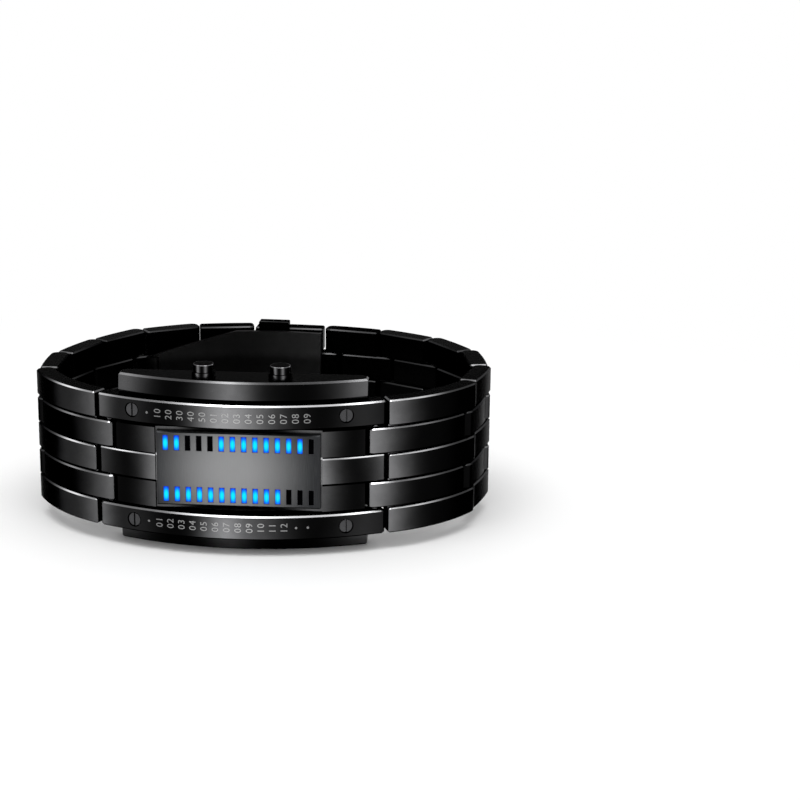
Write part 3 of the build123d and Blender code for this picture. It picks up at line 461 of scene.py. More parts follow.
@dataclass(frozen=True)
class PaintedReflectionPlating(MetalFinish):
    """Glossy black plating with painted reflections: soft light bands round the loop and painted highlights
    on the upper edges.

    Bands lie at a bearing about the loop's middle or, on a pusher, follow the normal. Rows are counted
    from the middle one, which is nought, so that the outer rows and the middle one are even. Bands of the
    even rows lie row_shift degrees further out, as each bar is rounded on its own, and row_glints are
    added there. Shelf bands light the bars that the case carries between its rails, edge bands light the
    upper edges, and fall is how much a rail's bands dim from its middle to its top.
    """

    spread: float = 0.06
    cloud_scale: float = 110.0
    handling_scale: float = 640.0
    relief_strength: float = 0.3
    ground: float = 0.002
    brightest: Colour = (0.98, 0.98, 1.0)
    grazing: float = 0.31
    glints: Tuple[Glint, ...] = LOOP_GLINTS
    shelf_glints: Tuple[Glint, ...] = ()
    edge_glints: Tuple[Glint, ...] = ()
    row_glints: Tuple[Glint, ...] = ()
    row_shift: float = 0.0
    row_pitch: float = 4.708 * MM
    shelf_reach: float = 7.4 * MM
    shelf_even_gain: float = 1.4
    shelf_edge_span: Span = (0.9, 0.94)
    fall: float = 0.0
    fall_middle: float = -9.45 * MM
    fall_reach: float = 1.6 * MM
    by_normal: bool = False
    middle: Span = (0.0, 0.022)
    waver: float = 5.0
    handling_tone: float = 0.35
    # The spans and shares below place the painted light bands and the painted edge highlights.
    outward_span: Span = (-0.004, 0.004)
    wall_span: Span = (0.2, 0.6)
    edge_span: Span = (0.35, 0.6)
    edge_end_span: Span = (0.82, 0.95)
    edge_gain: float = 3.2
    edge_ground: float = 0.13
    odd_edge_share: float = 0.3
    inward_edge_share: float = 0.3
    rear_span: Span = (-0.004, 0.008)
    rear_highlight_loss: float = 0.55

    @staticmethod
    def bands(degrees: Value, glints: Sequence[Glint]) -> Value:
        """Sum of bell-shaped painted light bands.

        Args:
            degrees: the bearing of each place.
            glints: the bands.

        Returns:
            How bright the bands make each place.
        """
        total = degrees * 0.0
        for glint in glints:
            offset = (degrees - glint.angle) * (1.0 / glint.spread)
            total = total + (offset * offset * -1.0).math("EXPONENT") * glint.strength
        return total

    def paint(self, sheet: Surface) -> None:
        """Metal with painted reflections: light bands by bearing round the loop, or round a pusher, and
        painted edge highlights.

        Args:
            sheet: the material's nodes.
        """
        across, depth, up = sheet.axis(sheet.coords, "X", "Y", "Z")
        side_x, side_y, rise = sheet.axis(sheet.node("ShaderNodeTexCoord").outputs["Normal"], "X", "Y", "Z")
        along, deep, height = across - self.middle[0], depth - self.middle[1], up - WATCH_MIDDLE
        outward = sheet.step(along * side_x + deep * side_y, *self.outward_span)
        bearing = (side_x if self.by_normal else along).math("ARCTAN2", -(side_y if self.by_normal else deep))
        clouds, handling, hairs = self.wear(sheet)
        degrees = bearing * (180.0 / math.pi) + (clouds - 0.5) * self.waver
        row = height / self.row_pitch + 0.5
        even = (row * 0.5).math("FRACT").math("LESS_THAN", 0.5)

        # bands: painted light bands standing in for reflections of the studio.
        bands = self.bands(degrees - along.math("SIGN") * even * self.row_shift, self.glints)
        if self.fall:
            bands = bands * (1.0 - (height - self.fall_middle) * (self.fall / self.fall_reach))
        if self.row_glints:
            bands = bands + self.bands(degrees, self.row_glints) * even
        wall = 1.0 - sheet.step(abs(rise), *self.wall_span)
        edge = sheet.step(rise, *self.edge_span) * (1.0 - sheet.step(rise, *self.edge_end_span))
        shelf: Number = 1.0
        if self.shelf_glints:
            shelf = abs(height).math("LESS_THAN", self.shelf_reach)
            shelf_bands = self.bands(degrees, self.shelf_glints) * (even * self.shelf_even_gain + 1.0)
            bands = bands * (1.0 - shelf) + shelf_bands * shelf
            edge = edge + sheet.step(row.math("FRACT"), *self.shelf_edge_span) * even * shelf * wall
        # rim: strength of the painted highlight on the upper edges.
        rim = bands * self.edge_gain + self.edge_ground
        if self.edge_glints:
            share = even * (1.0 - self.odd_edge_share) + self.odd_edge_share
            rim = rim + self.bands(degrees, self.edge_glints) * share * shelf

        # Painted reflection: light bands on the outward walls, plus painted edge highlights that are weaker
        # at the back of the loop and on inner edges.
        lit = 1.0 if self.by_normal else outward
        near = 1.0 if self.by_normal else 1.0 - sheet.step(deep, *self.rear_span) * self.rear_highlight_loss
        exposed = outward * (1.0 - self.inward_edge_share) + self.inward_edge_share
        tone = bands * wall * lit + edge * rim * near * exposed
        tone = (tone + self.ground) * ((handling - 0.5) * self.handling_tone + 1.0)
        sheet.coat(Base_Color=sheet.blend(tone, BLACK, self.brightest))
        sheet.make_metal(self.grazing)
        marks = sheet.step(hairs, *self.hair_span)
        sheet.coat(Roughness=self.roughness(clouds, handling, marks))
        sheet.relief(self.wear_height(handling, marks), self.relief_mm, self.relief_strength)


@dataclass(frozen=True)
class PlateFinish(Finish):
    """Fine satin grey of the display plate, with a painted sheen that makes it lighter in its middle."""

    tint: Colour = (0.03, 0.031, 0.033)
    rub: Colour = (0.31, 0.312, 0.315)
    gloss: float = 0.38
    edge_tint: float = 0.6
    centre: Span = (-1.0 * MM, 14.2 * MM)
    reach: Span = (13.5 * MM, 14.5 * MM)
    fade_span: Span = (0.1, 1.1)
    painted_sheen_tone: float = 0.9
    hair_tone: float = 0.2
    hair_stretch: Triple = (22000.0, 400.0, 420.0)
    grain_scale: float = 7000.0

    def paint(self, sheet: Surface) -> None:
        """Satin metal with fine vertical hairlines and a painted sheen in its middle.

        Args:
            sheet: the material's nodes.
        """
        across, up = sheet.axis(sheet.coords, "X", "Z")
        across, up = (across - self.centre[0]) / self.reach[0], (up - self.centre[1]) / self.reach[1]
        # Painted sheen: glow is brightest in the plate's middle and fades towards its edges.
        glow = 1.0 - sheet.step((across * across + up * up).math("SQRT"), *self.fade_span)
        hairs = sheet.noise(1.0, 3.0, 0.6, sheet.stretch(self.hair_stretch))
        grain = sheet.noise(self.grain_scale, 2.0)
        tone = glow * self.painted_sheen_tone + (hairs - 0.5) * self.hair_tone
        sheet.coat(Base_Color=sheet.blend(tone, self.tint, self.rub))
        sheet.make_metal(self.edge_tint)
        sheet.coat(Roughness=(hairs - 0.5) * 0.16 + (grain - 0.5) * 0.08 + self.gloss)
        sheet.relief(hairs * 0.7 + grain * 0.5, 0.003, 0.4)


HEAT_STOPS = (
    (0.0, (0.0, 0.02, 0.42)), (0.28, (0.0, 0.07, 0.9)), (0.6, (0.0, 0.26, 1.0)), (0.95, (0.0, 0.85, 1.0)),
)


@dataclass(frozen=True)
class LightFinish(Finish):
    """Clear bar over a light chip: dark, or lit and hot in its middle and deep blue towards its ends."""

    lit: bool = True
    tints: Tuple[Colour, Colour] = ((0.0, 0.003, 0.03), (0.0, 0.02, 0.06))
    shine: float = 0.1
    half_width: float = 0.44 * MM
    half_height: float = 1.3 * MM
    hot_shift: float = 0.1 * MM
    across_loss: float = 0.4
    along_loss: float = 0.75
    speck_scale: float = 5200.0
    speck_heat: float = 0.12

    def paint(self, sheet: Surface) -> None:
        """Bar that is dark, or whose light fades outwards by the bars' own spacing.

        Args:
            sheet: the material's nodes.
        """
        speck = sheet.noise(self.speck_scale, 2.0)
        shade = speck
        if self.lit:
            width, up = sheet.axis(sheet.coords, "X", "Z")
            place = (width + WINDOW_PITCH * WINDOW_COLUMNS / 2) / WINDOW_PITCH
            across = abs(place.math("FRACT") - 0.5) * (WINDOW_PITCH / self.half_width)
            height = up - WATCH_MIDDLE
            along = (abs(height) - WINDOW_ROW_REACH) * height.math("SIGN")
            along = (along + self.hot_shift) / self.half_height
            shade = 1.0 - (across * across * self.across_loss + along * along * self.along_loss)
            heat = shade + (speck - 0.5) * self.speck_heat
            glow = sheet.node("ShaderNodeValToRGB", {"stops": HEAT_STOPS}, Fac=heat)
            sheet.coat(Emission_Color=glow, Emission_Strength=1.0)
        sheet.coat(Base_Color=sheet.blend(shade, *self.tints))
        sheet.coat(Roughness=speck * 0.2 + 0.15, Specular_IOR_Level=self.shine)


@dataclass(frozen=True)
class MouldedFinish(Finish):
    """Plastic or rubber with a fine skin and slight unevenness."""

    tint: Colour
    shade: Colour
    gloss: float
    skin_scale: float = 5000.0
    skin_depth_mm: float = 0.006
    cloud_scale: float = 300.0

    def paint(self, sheet: Surface) -> None:
        """Two near tones under a fine skin.

        Args:
            sheet: the material's nodes.
        """
        skin = sheet.noise(self.skin_scale, 3.0)
        clouds = sheet.noise(self.cloud_scale, 3.0)
        sheet.coat(Base_Color=sheet.blend(clouds, self.tint, self.shade))
        sheet.coat(Roughness=(skin - 0.5) * 0.2 + (clouds - 0.5) * 0.1 + self.gloss)
        sheet.relief(skin, self.skin_depth_mm, 0.5)


@dataclass(frozen=True)
class PrintFinish(Finish):
    """Thin grey print on the rails, with a painted highlight that makes it paler towards the middle of each
    rail.
    """

    ends: float = 0.17
    crest_highlight: float = 0.43
    reach: float = 8.5 * MM
    gloss: float = 0.6
    shine: float = 0.2
    wear_scale: float = 9000.0
    wear_gain: float = 0.4
    worn_share: float = 0.8

    def paint(self, sheet: Surface) -> None:
        """Grey with a painted highlight that rises towards the middle of the rail, with the slight wear of
        fine print.

        Args:
            sheet: the material's nodes.
        """
        across = sheet.axis(sheet.coords, "X")[0] / self.reach
        wear = sheet.noise(self.wear_scale, 3.0)
        # Painted highlight: the print is paler towards the middle of the rail.
        crest_highlight = (across * across * -1.0).math("EXPONENT")
        tone = (crest_highlight * (self.crest_highlight - self.ends) + self.ends) * (wear * self.wear_gain + self.worn_share)
        sheet.coat(Base_Color=sheet.blend(tone, BLACK, WHITE))
        sheet.coat(Roughness=(wear - 0.5) * 0.1 + self.gloss, Specular_IOR_Level=self.shine)
        sheet.relief(wear, 0.003, 0.3)


@dataclass(frozen=True)
class BoardFinish(Finish):
    """Green lacquered board with copper tracks under the lacquer."""

    lacquer: Colour = (0.004, 0.05, 0.022)
    track: Colour = (0.012, 0.11, 0.045)
    coat: float = 0.3
    track_scale: float = 900.0
    track_width: float = 1.6
    track_height: float = 0.5
    gap: float = 0.03

    def paint(self, sheet: Surface) -> None:
        """Straight tracks from a fine brick pattern, lifted a little.

        Args:
            sheet: the material's nodes.
        """
        upright = sheet.stretch((1.0, 1.0, 1.0), (math.pi / 2, 0.0, 0.0))
        tracks = sheet.node(
            "ShaderNodeTexBrick", {"offset": 0.5, "squash": 1.0}, Vector=upright, Scale=self.track_scale,
            Mortar_Size=self.gap, Brick_Width=self.track_width, Row_Height=self.track_height,
        )
        mask = sheet.value(tracks, "Fac")
        skin = sheet.noise(3000.0, 2.0)
        sheet.coat(Base_Color=sheet.blend(mask, self.lacquer, self.track))
        sheet.coat(Roughness=skin * 0.12 + 0.22, Coat_Weight=self.coat)
        sheet.relief(mask + skin * 0.1, 0.02, 0.5)


# The platings below carry painted reflections in their colour: light bands and painted edge highlights.
BLACK_STEEL = PaintedReflectionPlating(
    "black_steel_polished", edge_glints=LOOP_EDGE_GLINTS, row_glints=EVEN_ROW_GLINTS, row_shift=4.5,
    edge_ground=0.035,
)
# Shaded copy of the plating for the pieces at the back: duller reflections at grazing angles, as painted
# shade.
SHADED_REAR_STEEL = replace(BLACK_STEEL, name="black_steel_rear_shaded", grazing=0.12)
UPPER_RAIL_STEEL = PaintedReflectionPlating(
    "black_steel_upper_rail", glints=UPPER_RAIL_GLINTS, edge_glints=UPPER_EDGE_GLINTS, edge_gain=2.6
)
LOWER_RAIL_STEEL = PaintedReflectionPlating(
    "black_steel_lower_rail", glints=LOWER_RAIL_GLINTS, edge_glints=LOWER_EDGE_GLINTS, fall=0.09,
    edge_gain=1.3,
)
FAIRING_STEEL = PaintedReflectionPlating(
    "black_steel_fairing", glints=FAIRING_GLINTS, shelf_glints=SHELF_GLINTS, edge_glints=SHELF_EDGE_GLINTS,
    gloss=0.24, edge_gain=2.4, edge_ground=0.06,
)
PUSHER_STEEL = PaintedReflectionPlating("black_steel_pusher", glints=PUSHER_GLINTS, by_normal=True, edge_gain=1.5)
INNER_STEEL = SteelFinish(
    "black_steel_brushed", tint=(0.024, 0.024, 0.026), rub=(0.05, 0.05, 0.052), gloss=0.34,
    grain=Grain.BRUSHED_LONG, edge_tint=0.42,
)
# The blade wears painted shade: darker low down and to the left.
BLADE_STEEL = replace(
    INNER_STEEL, name="black_steel_blade", shade_rise_span=(20.2 * MM, 22.2 * MM), shade_cross_span=(-8.0 * MM, 14.0 * MM)
)
SCREW_STEEL = SteelFinish(
    "black_steel_screw", tint=(0.02, 0.02, 0.022), rub=(0.1, 0.1, 0.103), gloss=0.26, grain=Grain.TURNED
)
BACK_STEEL = SteelFinish(
    "back_steel", tint=(0.2, 0.2, 0.205), rub=(0.27, 0.27, 0.275), gloss=0.36,
    grain=Grain.BRUSHED_ACROSS, edge_tint=0.8,
)
BACK_SCREW_STEEL = SteelFinish(
    "back_screw_steel", tint=(0.3, 0.3, 0.305), rub=(0.5, 0.5, 0.505), gloss=0.22, grain=Grain.TURNED,
    edge_tint=0.85,
)
PIN_STEEL = SteelFinish(
    "pin_steel", tint=(0.3, 0.3, 0.31), rub=(0.4, 0.4, 0.41), gloss=0.28, grain=Grain.TURNED, edge_tint=0.9
)
SPRING_STEEL = SteelFinish(
    "spring_steel", tint=(0.42, 0.42, 0.43), rub=(0.5, 0.5, 0.5), gloss=0.25, edge_tint=0.9
)
CELL_STEEL = SteelFinish(
    "cell_steel", tint=(0.6, 0.6, 0.6), rub=(0.68, 0.68, 0.67), gloss=0.2, grain=Grain.SATIN, edge_tint=0.95
)
CONTACT_BRASS = SteelFinish(
    "contact_brass", tint=(0.62, 0.42, 0.16), rub=(0.72, 0.52, 0.22), gloss=0.25, edge_tint=0.95
)
PLATE_GREY = PlateFinish("display_plate_grey")
LIGHT_ON = LightFinish("light_bar_lit")
LIGHT_OFF = LightFinish(
    "light_bar_dark", lit=False, tints=((0.0003, 0.0003, 0.0005), (0.001, 0.001, 0.0015)), shine=0.0
)
SEAL_RUBBER = MouldedFinish("seal_rubber", (0.012, 0.012, 0.012), (0.02, 0.02, 0.02), gloss=0.7)
FRAME_PLASTIC = MouldedFinish("module_plastic", (0.5, 0.5, 0.46), (0.42, 0.42, 0.39), gloss=0.5)
CHIP_PLASTIC = MouldedFinish("chip_plastic", (0.014, 0.014, 0.016), (0.022, 0.022, 0.024), gloss=0.55)
NUMERAL_GREY = PrintFinish("numeral_grey")
RIM_GREY = SteelFinish("window_rim_grey", tint=(0.05, 0.05, 0.055), rub=(0.09, 0.09, 0.1), gloss=0.3)
BOARD_GREEN = BoardFinish("light_board_green")


def add_object(name: str, data: Any) -> Any:
    """New object over mesh, lamp or camera data, linked into the scene.

    Args:
        name: the object's name.
        data: what it shows.

    Returns:
        The object, at the origin.
    """
    made = bpy.data.objects.new(name, data)
    bpy.context.scene.collection.objects.link(made)
    return made


class GeometryPiece:
    """A piece made by a Geometry Nodes tree that is turned into a plain mesh."""

    def __init__(self, name: str, sizes: Dict[str, float]) -> None:
        """Start a tree with its named inputs.

        Args:
            name: name of the piece and of its tree.
            sizes: the tree's inputs and their values, a whole number for a count.
        """
        self.name = name
        self.sizes = sizes
        self.tree = bpy.data.node_groups.new(name + "_tree", "GeometryNodeTree")
        self.tree.interface.new_socket("Geometry", in_out="INPUT", socket_type="NodeSocketGeometry")
        for label, size in sizes.items():
            kind = "NodeSocketInt" if isinstance(size, int) else "NodeSocketFloat"
            self.tree.interface.new_socket(label, in_out="INPUT", socket_type=kind)
        self.tree.interface.new_socket("Geometry", in_out="OUTPUT", socket_type="NodeSocketGeometry")
        self.sheet = NodeSheet(self.tree)
        self.entry = self.sheet.node("NodeGroupInput")

    def size(self, name: str) -> Value:
        """A named input as a value."""
        return self.sheet.value(self.entry, name)

    def join(self, parts: Sequence[Any]) -> Any:
        """Join several geometries into one.

        Args:
            parts: the geometries.

        Returns:
            The joined geometry.
        """
        joined = self.sheet.node("GeometryNodeJoinGeometry")
        for part in parts:
            self.tree.links.new(part, joined.inputs[0])
        return joined.outputs[0]

    def draw_wire(self, path: Any, corners: int, caps: bool) -> Any:
        """Draw round wire of the input "Wire radius" along a path.

        Args:
            path: node whose first output is the path's curve.
            corners: how many corners the wire's section has.
            caps: whether the wire's ends are closed.

        Returns:
            The wire's mesh.
        """
        section = self.sheet.node(
            "GeometryNodeCurvePrimitiveCircle", None, Resolution=corners, Radius=self.size("Wire radius")
        )
        wire = self.sheet.node(
            "GeometryNodeCurveToMesh", None, Curve=path, Profile_Curve=section.outputs[0], Fill_Caps=caps
        )
        return wire.outputs[0]

    def finish(self, geometry: Any, finish: Finish, body: str, slot: str) -> Any:
        """End the tree, turn it into a plain mesh and let it ride on its body.

        Args:
            geometry: the tree's last geometry.
            finish: what the piece wears.
            body: the body it rides on.
            slot: not used.

        Returns:
            The finished object.
        """
        real = self.sheet.node("GeometryNodeRealizeInstances", None, Geometry=geometry)
        dressed = self.sheet.node(
            "GeometryNodeSetMaterial", None, Geometry=real.outputs[0], Material=finish.make()
        )
        self.sheet.node("NodeGroupOutput", None, Geometry=dressed.outputs[0])
        maker = add_object(self.name + "_maker", bpy.data.meshes.new(self.name + "_seed"))
        modifier = maker.modifiers.new("maker", "NODES")
        modifier.node_group = self.tree
        for socket in self.tree.interface.items_tree:
            if socket.in_out == "INPUT" and socket.name in self.sizes:
                modifier[socket.identifier] = self.sizes[socket.name]
        depsgraph = bpy.context.evaluated_depsgraph_get()
        mesh = bpy.data.meshes.new_from_object(maker.evaluated_get(depsgraph), depsgraph=depsgraph)
        maker.modifiers.remove(modifier)
        bpy.data.objects.remove(maker)
        mesh.name = self.name
        mesh.materials.clear()
        mesh.materials.append(finish.make())
        piece = add_object(self.name, mesh)
        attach(piece, body)
        log.info("piece %s: %d faces", self.name, len(mesh.polygons))
        return piece


@dataclass
class RailNumerals:
    """Plain numerals along one rail, turned to read upwards, one beside each light column."""

    name: str
    texts: Sequence[str]
    height: float
    pitch: float = 1.92 * MM
    first: float = -15.22 * MM
    digit: float = 1.62 * MM
    spacing: float = 1.14
    lift: float = 0.012 * MM
    bend_radius: float = 52.54 * MM
    bend_centre: float = 45.136 * MM
    dot: float = 0.2 * MM
    dot_corners: int = 20
    turn: Triple = (math.pi / 2, -math.pi / 2, 0.0)

    def build(self) -> None:
        """Make the numerals and the small dots that stand in the bare label places."""
        piece = GeometryPiece(self.name, {
            "Digit height": self.digit, "Letter spacing": self.spacing, "Numeral pitch": self.pitch,
            "First place": self.first, "Row height": self.height, "Bend radius": self.bend_radius,
            "Bend centre": self.bend_centre, "Lift": self.lift, "Dot radius": self.dot,
        })
        sheet = piece.sheet
        parts: List[Any] = []
        for column, text in enumerate(self.texts):
            if text:
                writing = sheet.node(
                    "GeometryNodeStringToCurves", {"align_x": "CENTER", "align_y": "MIDDLE"}, String=text,
                    Size=piece.size("Digit height"), Character_Spacing=piece.size("Letter spacing"),
                )
                real = sheet.node("GeometryNodeRealizeInstances", None, Geometry=writing.outputs[0])
                face = sheet.node("GeometryNodeFillCurve", None, Curve=real.outputs[0])
            else:
                face = sheet.node(
                    "GeometryNodeMeshCircle", {"fill_type": "NGON"}, Vertices=self.dot_corners,
                    Radius=piece.size("Dot radius"),
                )
            parts.append(self._set_down(piece, face.outputs[0], column))
        bent = self._bend(piece, piece.join(parts))
        piece.finish(bent, NUMERAL_GREY, "case", "plate_grey")

    def _set_down(self, piece: GeometryPiece, geometry: Any, column: int) -> Any:
        """Turn a flat shape to read upwards and move it beside its light column.

        Args:
            piece: the piece it belongs to.
            geometry: the flat shape.
            column: the light column it stands beside.

        Returns:
            The shape in its place, before the rail's bend.
        """
        sheet = piece.sheet
        across = piece.size("Numeral pitch") * float(column) + piece.size("First place")
        place = sheet.node("ShaderNodeCombineXYZ", None, X=across, Y=0.0, Z=piece.size("Row height"))
        moved = sheet.node(
            "GeometryNodeTransform", None, Geometry=geometry, Translation=place, Rotation=self.turn
        )
        return moved.outputs[0]

    @staticmethod
    def _bend(piece: GeometryPiece, geometry: Any) -> Any:
        """Lay the flat row onto the rail's curved face.

        Args:
            piece: the piece it belongs to.
            geometry: the flat row.

        Returns:
            The bent row.
        """
        sheet = piece.sheet
        across, up = sheet.axis(sheet.node("GeometryNodeInputPosition"), "X", "Z")
        radius = piece.size("Bend radius") + piece.size("Lift")
        depth = piece.size("Bend centre") - (radius * radius - across * across).math("SQRT")
        place = sheet.node("ShaderNodeCombineXYZ", None, X=across, Y=depth, Z=up)
        return sheet.node("GeometryNodeSetPosition", None, Geometry=geometry, Position=place).outputs[0]


@dataclass
class WindowRims:
    """Thin rims round the display windows, two rows of them."""

    width: float = 0.93 * MM
    height: float = 2.65 * MM
    wire: float = 0.028 * MM
    wire_corners: int = 8
    face: float = -5.5 * MM

    def build(self) -> None:
        """Repeat one rim over a line of points, once for each row."""
        piece = GeometryPiece("window_rims", {
            "Columns": WINDOW_COLUMNS, "Column pitch": WINDOW_PITCH, "Row reach": WINDOW_ROW_REACH,
            "Rim width": self.width, "Rim height": self.height, "Wire radius": self.wire,
        })
        sheet, pitch = piece.sheet, piece.size("Column pitch")
        outline = sheet.node(
            "GeometryNodeCurvePrimitiveQuadrilateral", None,
            Width=piece.size("Rim width"), Height=piece.size("Rim height"),
        )
        rim = piece.draw_wire(outline, self.wire_corners, caps=False)
        rows: List[Any] = []
        for side in (-1.0, 1.0):
            start = sheet.node(
                "ShaderNodeCombineXYZ", None, X=pitch * (-(WINDOW_COLUMNS - 1) / 2), Y=self.face,
                Z=piece.size("Row reach") * side + WATCH_MIDDLE,
            )
            step = sheet.node("ShaderNodeCombineXYZ", None, X=pitch, Y=0.0, Z=0.0)
            line = sheet.node(
                "GeometryNodeMeshLine", None, Count=piece.size("Columns"), Start_Location=start, Offset=step
            )
            rows.append(line.outputs[0])
        copies = sheet.node(
            "GeometryNodeInstanceOnPoints", None, Points=piece.join(rows), Instance=rim,
            Rotation=(math.pi / 2, 0.0, 0.0),
        )
        piece.finish(copies.outputs[0], RIM_GREY, "case", "plate_grey")


@dataclass
class CoilSpring:
    """Open coil spring in its node's place."""

    node: str
    body: str
    joint: str
    turns: float
    wire: float
    travel: float
    stands_low: bool = True
    slack: float = 0.99
    steps_per_turn: int = 24
    wire_corners: int = 10

    def build(self) -> None:
        """Wind the spring in place of its node, which is hidden."""
        low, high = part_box(self.node)
        length = high[2] - low[2]
        middle = ((low[0] + high[0]) / 2, (low[1] + high[1]) / 2)
        piece = GeometryPiece(self.node + "_coil", {
            "Turns": self.turns, "Coil radius": (high[0] - low[0]) / 2 - self.wire,
            "Coil height": length - 2 * self.wire, "Wire radius": self.wire,
        })
        radius = piece.size("Coil radius")
        path = piece.sheet.node(
            "GeometryNodeCurveSpiral", None, Resolution=self.steps_per_turn, Rotations=piece.size("Turns"),
            Start_Radius=radius, End_Radius=radius, Height=piece.size("Coil height"),
        )
        moved = piece.sheet.node(
            "GeometryNodeTransform", None, Geometry=piece.draw_wire(path, self.wire_corners, caps=True),
            Translation=(*middle, low[2] + self.wire),
        )
        coil = piece.finish(moved.outputs[0], SPRING_STEEL, self.body, "spring_steel")
        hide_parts(self.node)
        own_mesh(coil)


@dataclass
class WatchHead:
    """Case, rails, display, pushers and case back."""

    tens: Tuple[str, ...] = ("10", "20", "30", "40", "50")
    ones: Tuple[str, ...] = ("01", "02", "03", "04", "05", "06", "07", "08", "09")
    rail_reach: float = 9.45 * MM
    spring_turns: float = 4.0
    spring_wire: float = 0.12 * MM
    pusher_travel: float = 0.7 * MM

    def build(self) -> None:
        """Dress the head's nodes and add its springs, numerals and window rims."""
        UPPER_RAIL_STEEL.dress("upper_rail")
        LOWER_RAIL_STEEL.dress("lower_rail")
        PUSHER_STEEL.dress("left_pusher", "right_pusher", "pusher_tubes")
        FAIRING_STEEL.dress("case_body")
        SCREW_STEEL.dress("rail_screws")
        PLATE_GREY.dress("display_plate")
        LIGHT_ON.dress("lit_windows")
        LIGHT_OFF.dress("dark_windows")
        BACK_STEEL.dress("case_back")
        BACK_SCREW_STEEL.dress("back_screws")
        SEAL_RUBBER.dress("back_gasket", "pusher_seals")
        PIN_STEEL.dress("case_pins")
        SPRING_STEEL.dress("left_pusher_clip", "right_pusher_clip")
        for side in ("left", "right"):
            CoilSpring(
                f"{side}_pusher_spring", "case", f"{side}_push", self.spring_turns, self.spring_wire,
                self.pusher_travel,
            ).build()
        minutes = ("", *self.tens, *self.ones)
        hours = ("", *self.ones, "10", "11", "12", "", "")
        RailNumerals("upper_numerals", minutes, WATCH_MIDDLE + self.rail_reach).build()
        RailNumerals("lower_numerals", hours, WATCH_MIDDLE - self.rail_reach).build()
        WindowRims().build()


@dataclass
class Electronics:
    """Light board, frame and cell inside the case."""

    def build(self) -> None:
        """Dress the inner nodes."""
        BOARD_GREEN.dress("light_board")
        CHIP_PLASTIC.dress("light_chips", "driver_chip")
        PIN_STEEL.dress("quartz_can")
        FRAME_PLASTIC.dress("module_frame")
        CELL_STEEL.dress("coin_cell")
        SPRING_STEEL.dress("cell_clip")
        CONTACT_BRASS.dress("switch_contacts")


@dataclass
class Bracelet:
    """Both halves of the link bracelet with their hinge pins."""

    links: int = 6

    def build(self) -> None:
        """Dress the links and pins; the last link of each half lies at the back and wears the shaded copy of
        the plating.
        """
        numbers = range(1, self.links + 1)
        sides = ("left", "right")
        BLACK_STEEL.dress(*[f"{side}_link_{number}" for side in sides for number in numbers[:-1]])
        SHADED_REAR_STEEL.dress(*[f"{side}_link_{self.links}" for side in sides])
        PIN_STEEL.dress(*[f"{side}_pin_{number}" for side in sides for number in numbers])


@dataclass
class Clasp:
    """Fold-over clasp with its two release buttons."""

    spring_turns: float = 7.0
    spring_wire: float = 0.11 * MM
    button_travel: float = 0.8 * MM

    def build(self) -> None:
        """Dress the clasp's nodes and add its springs."""
        # The latch and its buttons wear the shaded copy of the plating.
        SHADED_REAR_STEEL.dress("latch_housing", "upper_button", "lower_button")
        BLADE_STEEL.dress("clasp_blade")
        INNER_STEEL.dress("fold_arm")
        PIN_STEEL.dress("fold_pin")
        for side in ("upper", "lower"):
            CoilSpring(
                f"{side}_button_spring", "clasp", f"{side}_release", self.spring_turns, self.spring_wire,
                self.button_travel, stands_low=side == "upper",
            ).build()


@dataclass(frozen=True)
class Softbox:
    """One soft light: where it hangs, where it points, how large and how strong it is."""

    name: str
    place: Triple
    size: Tuple[float, float]
    power: float
    target: Triple = (0.0, 0.01, 0.015)

    def hang(self) -> None:
        """Create the lamp and turn it to its target."""
        lamp = bpy.data.lights.new(self.name, "AREA")
        lamp.shape = "RECTANGLE"
        lamp.size, lamp.size_y = self.size
        lamp.energy = self.power
        holder = add_object(self.name, lamp)
        holder.location = self.place
        aim = Vector(self.target) - Vector(self.place)
        holder.rotation_euler = aim.to_track_quat("-Z", "Y").to_euler()
        log.info("light %s", self.name)


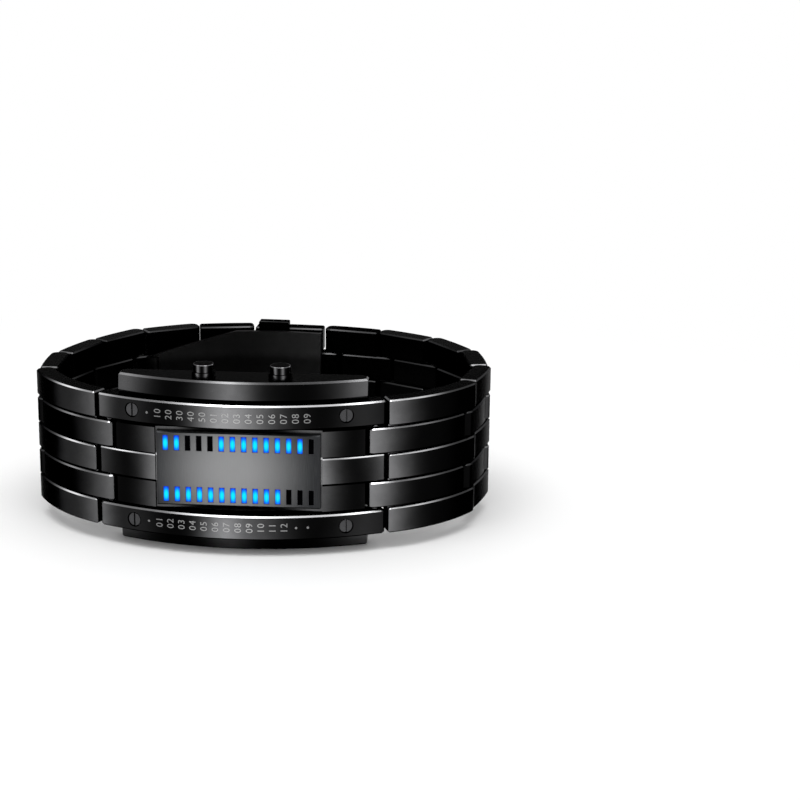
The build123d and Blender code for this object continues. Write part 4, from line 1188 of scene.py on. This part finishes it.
@dataclass
class Studio:
    """Pale floor, soft lights and the camera at the photograph's angle."""

    floor_reach: float = 3.0
    paper: Colour = (0.93, 0.93, 0.93)
    fade_middle: float = 0.02
    fade_span: Span = (0.075, 0.16)
    world_level: float = 0.8
    camera_place: Triple = (0.045778, -0.31988, 0.11452)
    yaw: float = -0.0604
    pitch: float = 0.2697
    roll: float = 0.0119
    focal_pixels: float = 1998.04
    frame_pixels: float = 800.0
    sensor_mm: float = 36.0
    clip_start: float = 0.01
    boxes: Tuple[Softbox, ...] = (
        Softbox("overhead_box", (0.0, -0.2, 0.75), (0.7, 0.3), 2.6),
        Softbox("left_strip", (-0.62, -0.25, 0.32), (0.12, 0.5), 0.3),
        Softbox("right_strip", (0.6, -0.1, 0.3), (0.12, 0.5), 0.3),
    )

    def build(self) -> None:
        """Set up stage, lights and camera."""
        self._lay_floor()
        self._light_world()
        for box in self.boxes:
            box.hang()
        self._set_camera()
        bpy.context.scene.view_settings.view_transform = "Standard"

    @staticmethod
    def _seen(sheet: NodeSheet) -> Value:
        """One for rays from the camera, also by a reflection or through glass, and nought for the rest.

        Args:
            sheet: nodes of the floor or the world.

        Returns:
            The mask.
        """
        path = sheet.node("ShaderNodeLightPath")
        seen = sheet.value(path, "Is Camera Ray").math("MAXIMUM", sheet.value(path, "Is Glossy Ray"))
        return seen.math("MAXIMUM", sheet.value(path, "Is Transmission Ray"))

    def _lay_floor(self) -> None:
        """Large pale floor: it takes the shadow near the watch and runs out into plain white."""
        reach = self.floor_reach
        corners = [(-reach, -reach, 0), (reach, -reach, 0), (reach, reach, 0), (-reach, reach, 0)]
        mesh = bpy.data.meshes.new("floor")
        mesh.from_pydata(corners, [], [(0, 1, 2, 3)])
        floor = add_object("floor", mesh)
        material = bpy.data.materials.new("floor_white")
        sheet = NodeSheet.emptied(material)
        paper = sheet.node("ShaderNodeBsdfDiffuse", None, Color=(*self.paper, 1.0))
        glow = sheet.node("ShaderNodeEmission", None, Color=(*WHITE, 1.0), Strength=1.0)
        across, depth = sheet.axis(sheet.node("ShaderNodeTexCoord").outputs["Object"], "X", "Y")
        deep = depth - self.fade_middle
        far = sheet.step((across * across + deep * deep).math("SQRT"), *self.fade_span)
        mixed = sheet.node("ShaderNodeMixShader", None, i0=far * self._seen(sheet), i1=paper, i2=glow)
        sheet.node("ShaderNodeOutputMaterial", None, Surface=mixed)
        mesh.materials.append(material)
        log.info("floor")

    def _light_world(self) -> None:
        """White to the camera and in reflections, and a plain grey light otherwise."""
        world = bpy.data.worlds.new("studio_world")
        bpy.context.scene.world = world
        sheet = NodeSheet.emptied(world)
        level = self._seen(sheet) * (1.0 - self.world_level) + self.world_level
        glow = sheet.node("ShaderNodeBackground", None, Color=(*WHITE, 1.0), Strength=level)
        sheet.node("ShaderNodeOutputWorld", None, Surface=glow)
        log.info("world")

    def _set_camera(self) -> None:
        """Camera with the place, turn and lens found from the photograph."""
        level = math.cos(self.pitch)
        forward = Vector((math.sin(self.yaw) * level, math.cos(self.yaw) * level, -math.sin(self.pitch)))
        right = Vector((math.cos(self.yaw), -math.sin(self.yaw), 0.0))
        up = right.cross(forward)
        turned_right = right * math.cos(self.roll) + up * math.sin(self.roll)
        turned_up = up * math.cos(self.roll) - right * math.sin(self.roll)
        data = bpy.data.cameras.new("photo_camera")
        data.sensor_width = self.sensor_mm
        data.lens = self.focal_pixels / self.frame_pixels * self.sensor_mm
        data.clip_start = self.clip_start
        camera = add_object("photo_camera", data)
        turn = Matrix((turned_right, turned_up, -forward)).transposed()
        camera.matrix_world = Matrix.Translation(self.camera_place) @ turn.to_4x4()
        bpy.context.scene.camera = camera
        log.info("camera: %.1f mm lens", data.lens)


def main() -> None:
    """Build the studio, then the watch's sub-assemblies in order."""
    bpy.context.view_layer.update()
    Studio().build()
    WatchHead().build()
    Electronics().build()
    Bracelet().build()
    Clasp().build()


if __name__ == "__main__":
    main()
